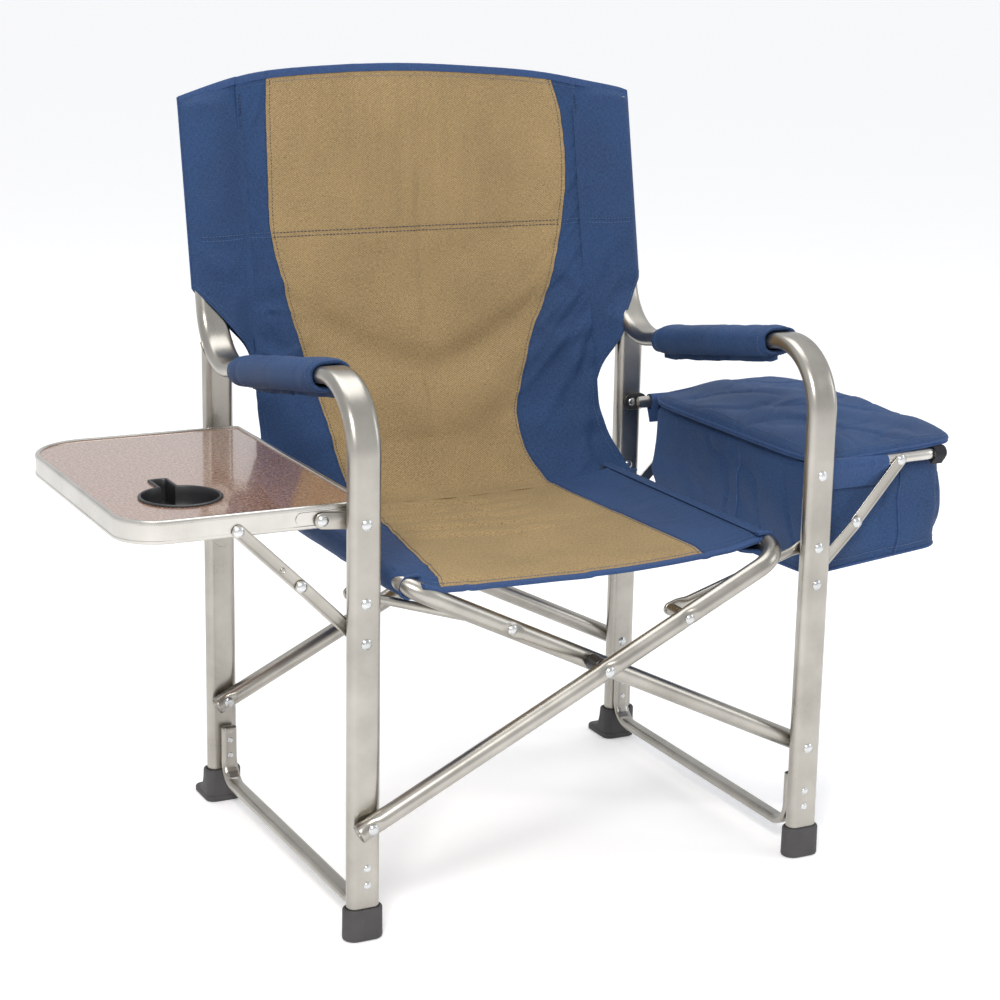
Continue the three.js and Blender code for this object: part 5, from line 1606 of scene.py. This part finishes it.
lid.add(lid_sheet.p.reshape(-1, 3), grid_faces(rows, cols), 0, lid_sheet.flat.reshape(-1, 2) * MM)
under_points = np.stack([px, py, low_z], -1)
lid.add(under_points.reshape(-1, 3), grid_faces(rows, cols), 0, lid_sheet.flat.reshape(-1, 2) * MM)
edge_top = np.array([lid_sheet.p[i, j] for i, j in rim_index])
edge_low = np.array([under_points[i, j] for i, j in rim_index])
centre = edge_top.mean(0)
out = (edge_top - centre) * [1, 1, 0]
out /= np.linalg.norm(out, axis=1)[:, None]
lid.loft([edge_top, edge_top * 0.65 + edge_low * 0.35 + out * 1.0,
          edge_top * 0.3 + edge_low * 0.7 + out * 1.0, edge_low])
lid_obj = lid.make("cooler_lid_cloth", NAVY, "cooler_lid", ["cooler_lid"], "navy_fabric", sharp=60, weld=True)
trim = Part()
piping(trim, closed(edge_top, 2) + [0, 0, -0.6], 1.9)
piping(trim, closed(edge_low, 2) + [0, 0, 1.2], 1.5)
# The stitch row runs three grid cells in from the edge.
inset_top = closed([lid_sheet.p[min(max(i, 3), rows - 4), min(max(j, 3), cols - 4)] for i, j in rim_index])
stitch_row(trim, inset_top, np.tile([0, 0, 1.0], (len(inset_top), 1)), *WIDE_HEM_GAUGE, slot=1)
trim_obj = trim.make("cooler_lid_piping", [BINDING, PALE_THREAD], "cooler_lid", sharp=60)


# ------------------------------------------------------------------ close of the script
floor_mesh = bpy.data.meshes.new("floor")
floor_mesh.from_pydata([(-40, -40, -0.0005), (40, -40, -0.0005), (40, 60, -0.0005), (-40, 60, -0.0005)], [],
                       [(0, 1, 2, 3)])
floor = bpy.data.objects.new("floor", floor_mesh)
bpy.context.scene.collection.objects.link(floor)
floor_mat, _, floor_shader = node_material("studio_floor", (0.94, 0.94, 0.945), 0.7)
floor_shader.inputs["Emission Color"].default_value = (1, 1, 1, 1)
floor_shader.inputs["Emission Strength"].default_value = 0.22
floor_mesh.materials.append(floor_mat)

world = bpy.data.worlds.new("studio")
bpy.context.scene.world = world
world.use_nodes = True
world.node_tree.nodes["Background"].inputs["Color"].default_value = (0.97, 0.98, 1.0, 1)
world.node_tree.nodes["Background"].inputs["Strength"].default_value = 0.78


def area_light(name, at, aim, size, power, colour=(1, 1, 1)):
    lamp = bpy.data.lights.new(name, "AREA")
    lamp.shape = "RECTANGLE"
    lamp.size, lamp.size_y = size
    lamp.energy = power
    lamp.color = colour
    obj = bpy.data.objects.new(name, lamp)
    obj.location = at
    obj.rotation_euler = (Vector(aim) - Vector(at)).to_track_quat("-Z", "Y").to_euler()
    bpy.context.scene.collection.objects.link(obj)


area_light("key_softbox", (-1.6, -2.6, 2.6), (0, 0, 0.5), (0.8, 0.8), 78, (1.0, 0.985, 0.96))
area_light("fill_softbox", (2.8, -1.6, 1.6), (0, 0, 0.45), (1.0, 1.6), 12, (0.96, 0.98, 1.0))
area_light("top_softbox", (0.2, 0.6, 3.2), (0, 0, 0.4), (2.2, 2.2), 38)

camera = bpy.data.objects.new("camera", bpy.data.cameras.new("camera"))
bpy.context.scene.collection.objects.link(camera)
CAMERA_AT = Vector((-1.2000, -2.4224, 1.1050))
CAMERA_AIM = Vector((0.0112, -0.0172, 0.4173))
CAMERA_ROLL = math.radians(1.08)
look = (CAMERA_AIM - CAMERA_AT).normalized()
right = look.cross(Vector((0, 0, 1))).normalized()
up = right.cross(look)
turned_right = math.cos(CAMERA_ROLL) * right + math.sin(CAMERA_ROLL) * up
turned_up = -math.sin(CAMERA_ROLL) * right + math.cos(CAMERA_ROLL) * up
turned = Matrix((turned_right, turned_up, -look)).transposed().to_4x4()
camera.matrix_world = Matrix.Translation(CAMERA_AT) @ turned
camera.data.lens = 83.19
camera.data.sensor_width = 36
camera.data.clip_end = 60
bpy.context.scene.camera = camera
bpy.context.scene.view_settings.view_transform = "Standard"
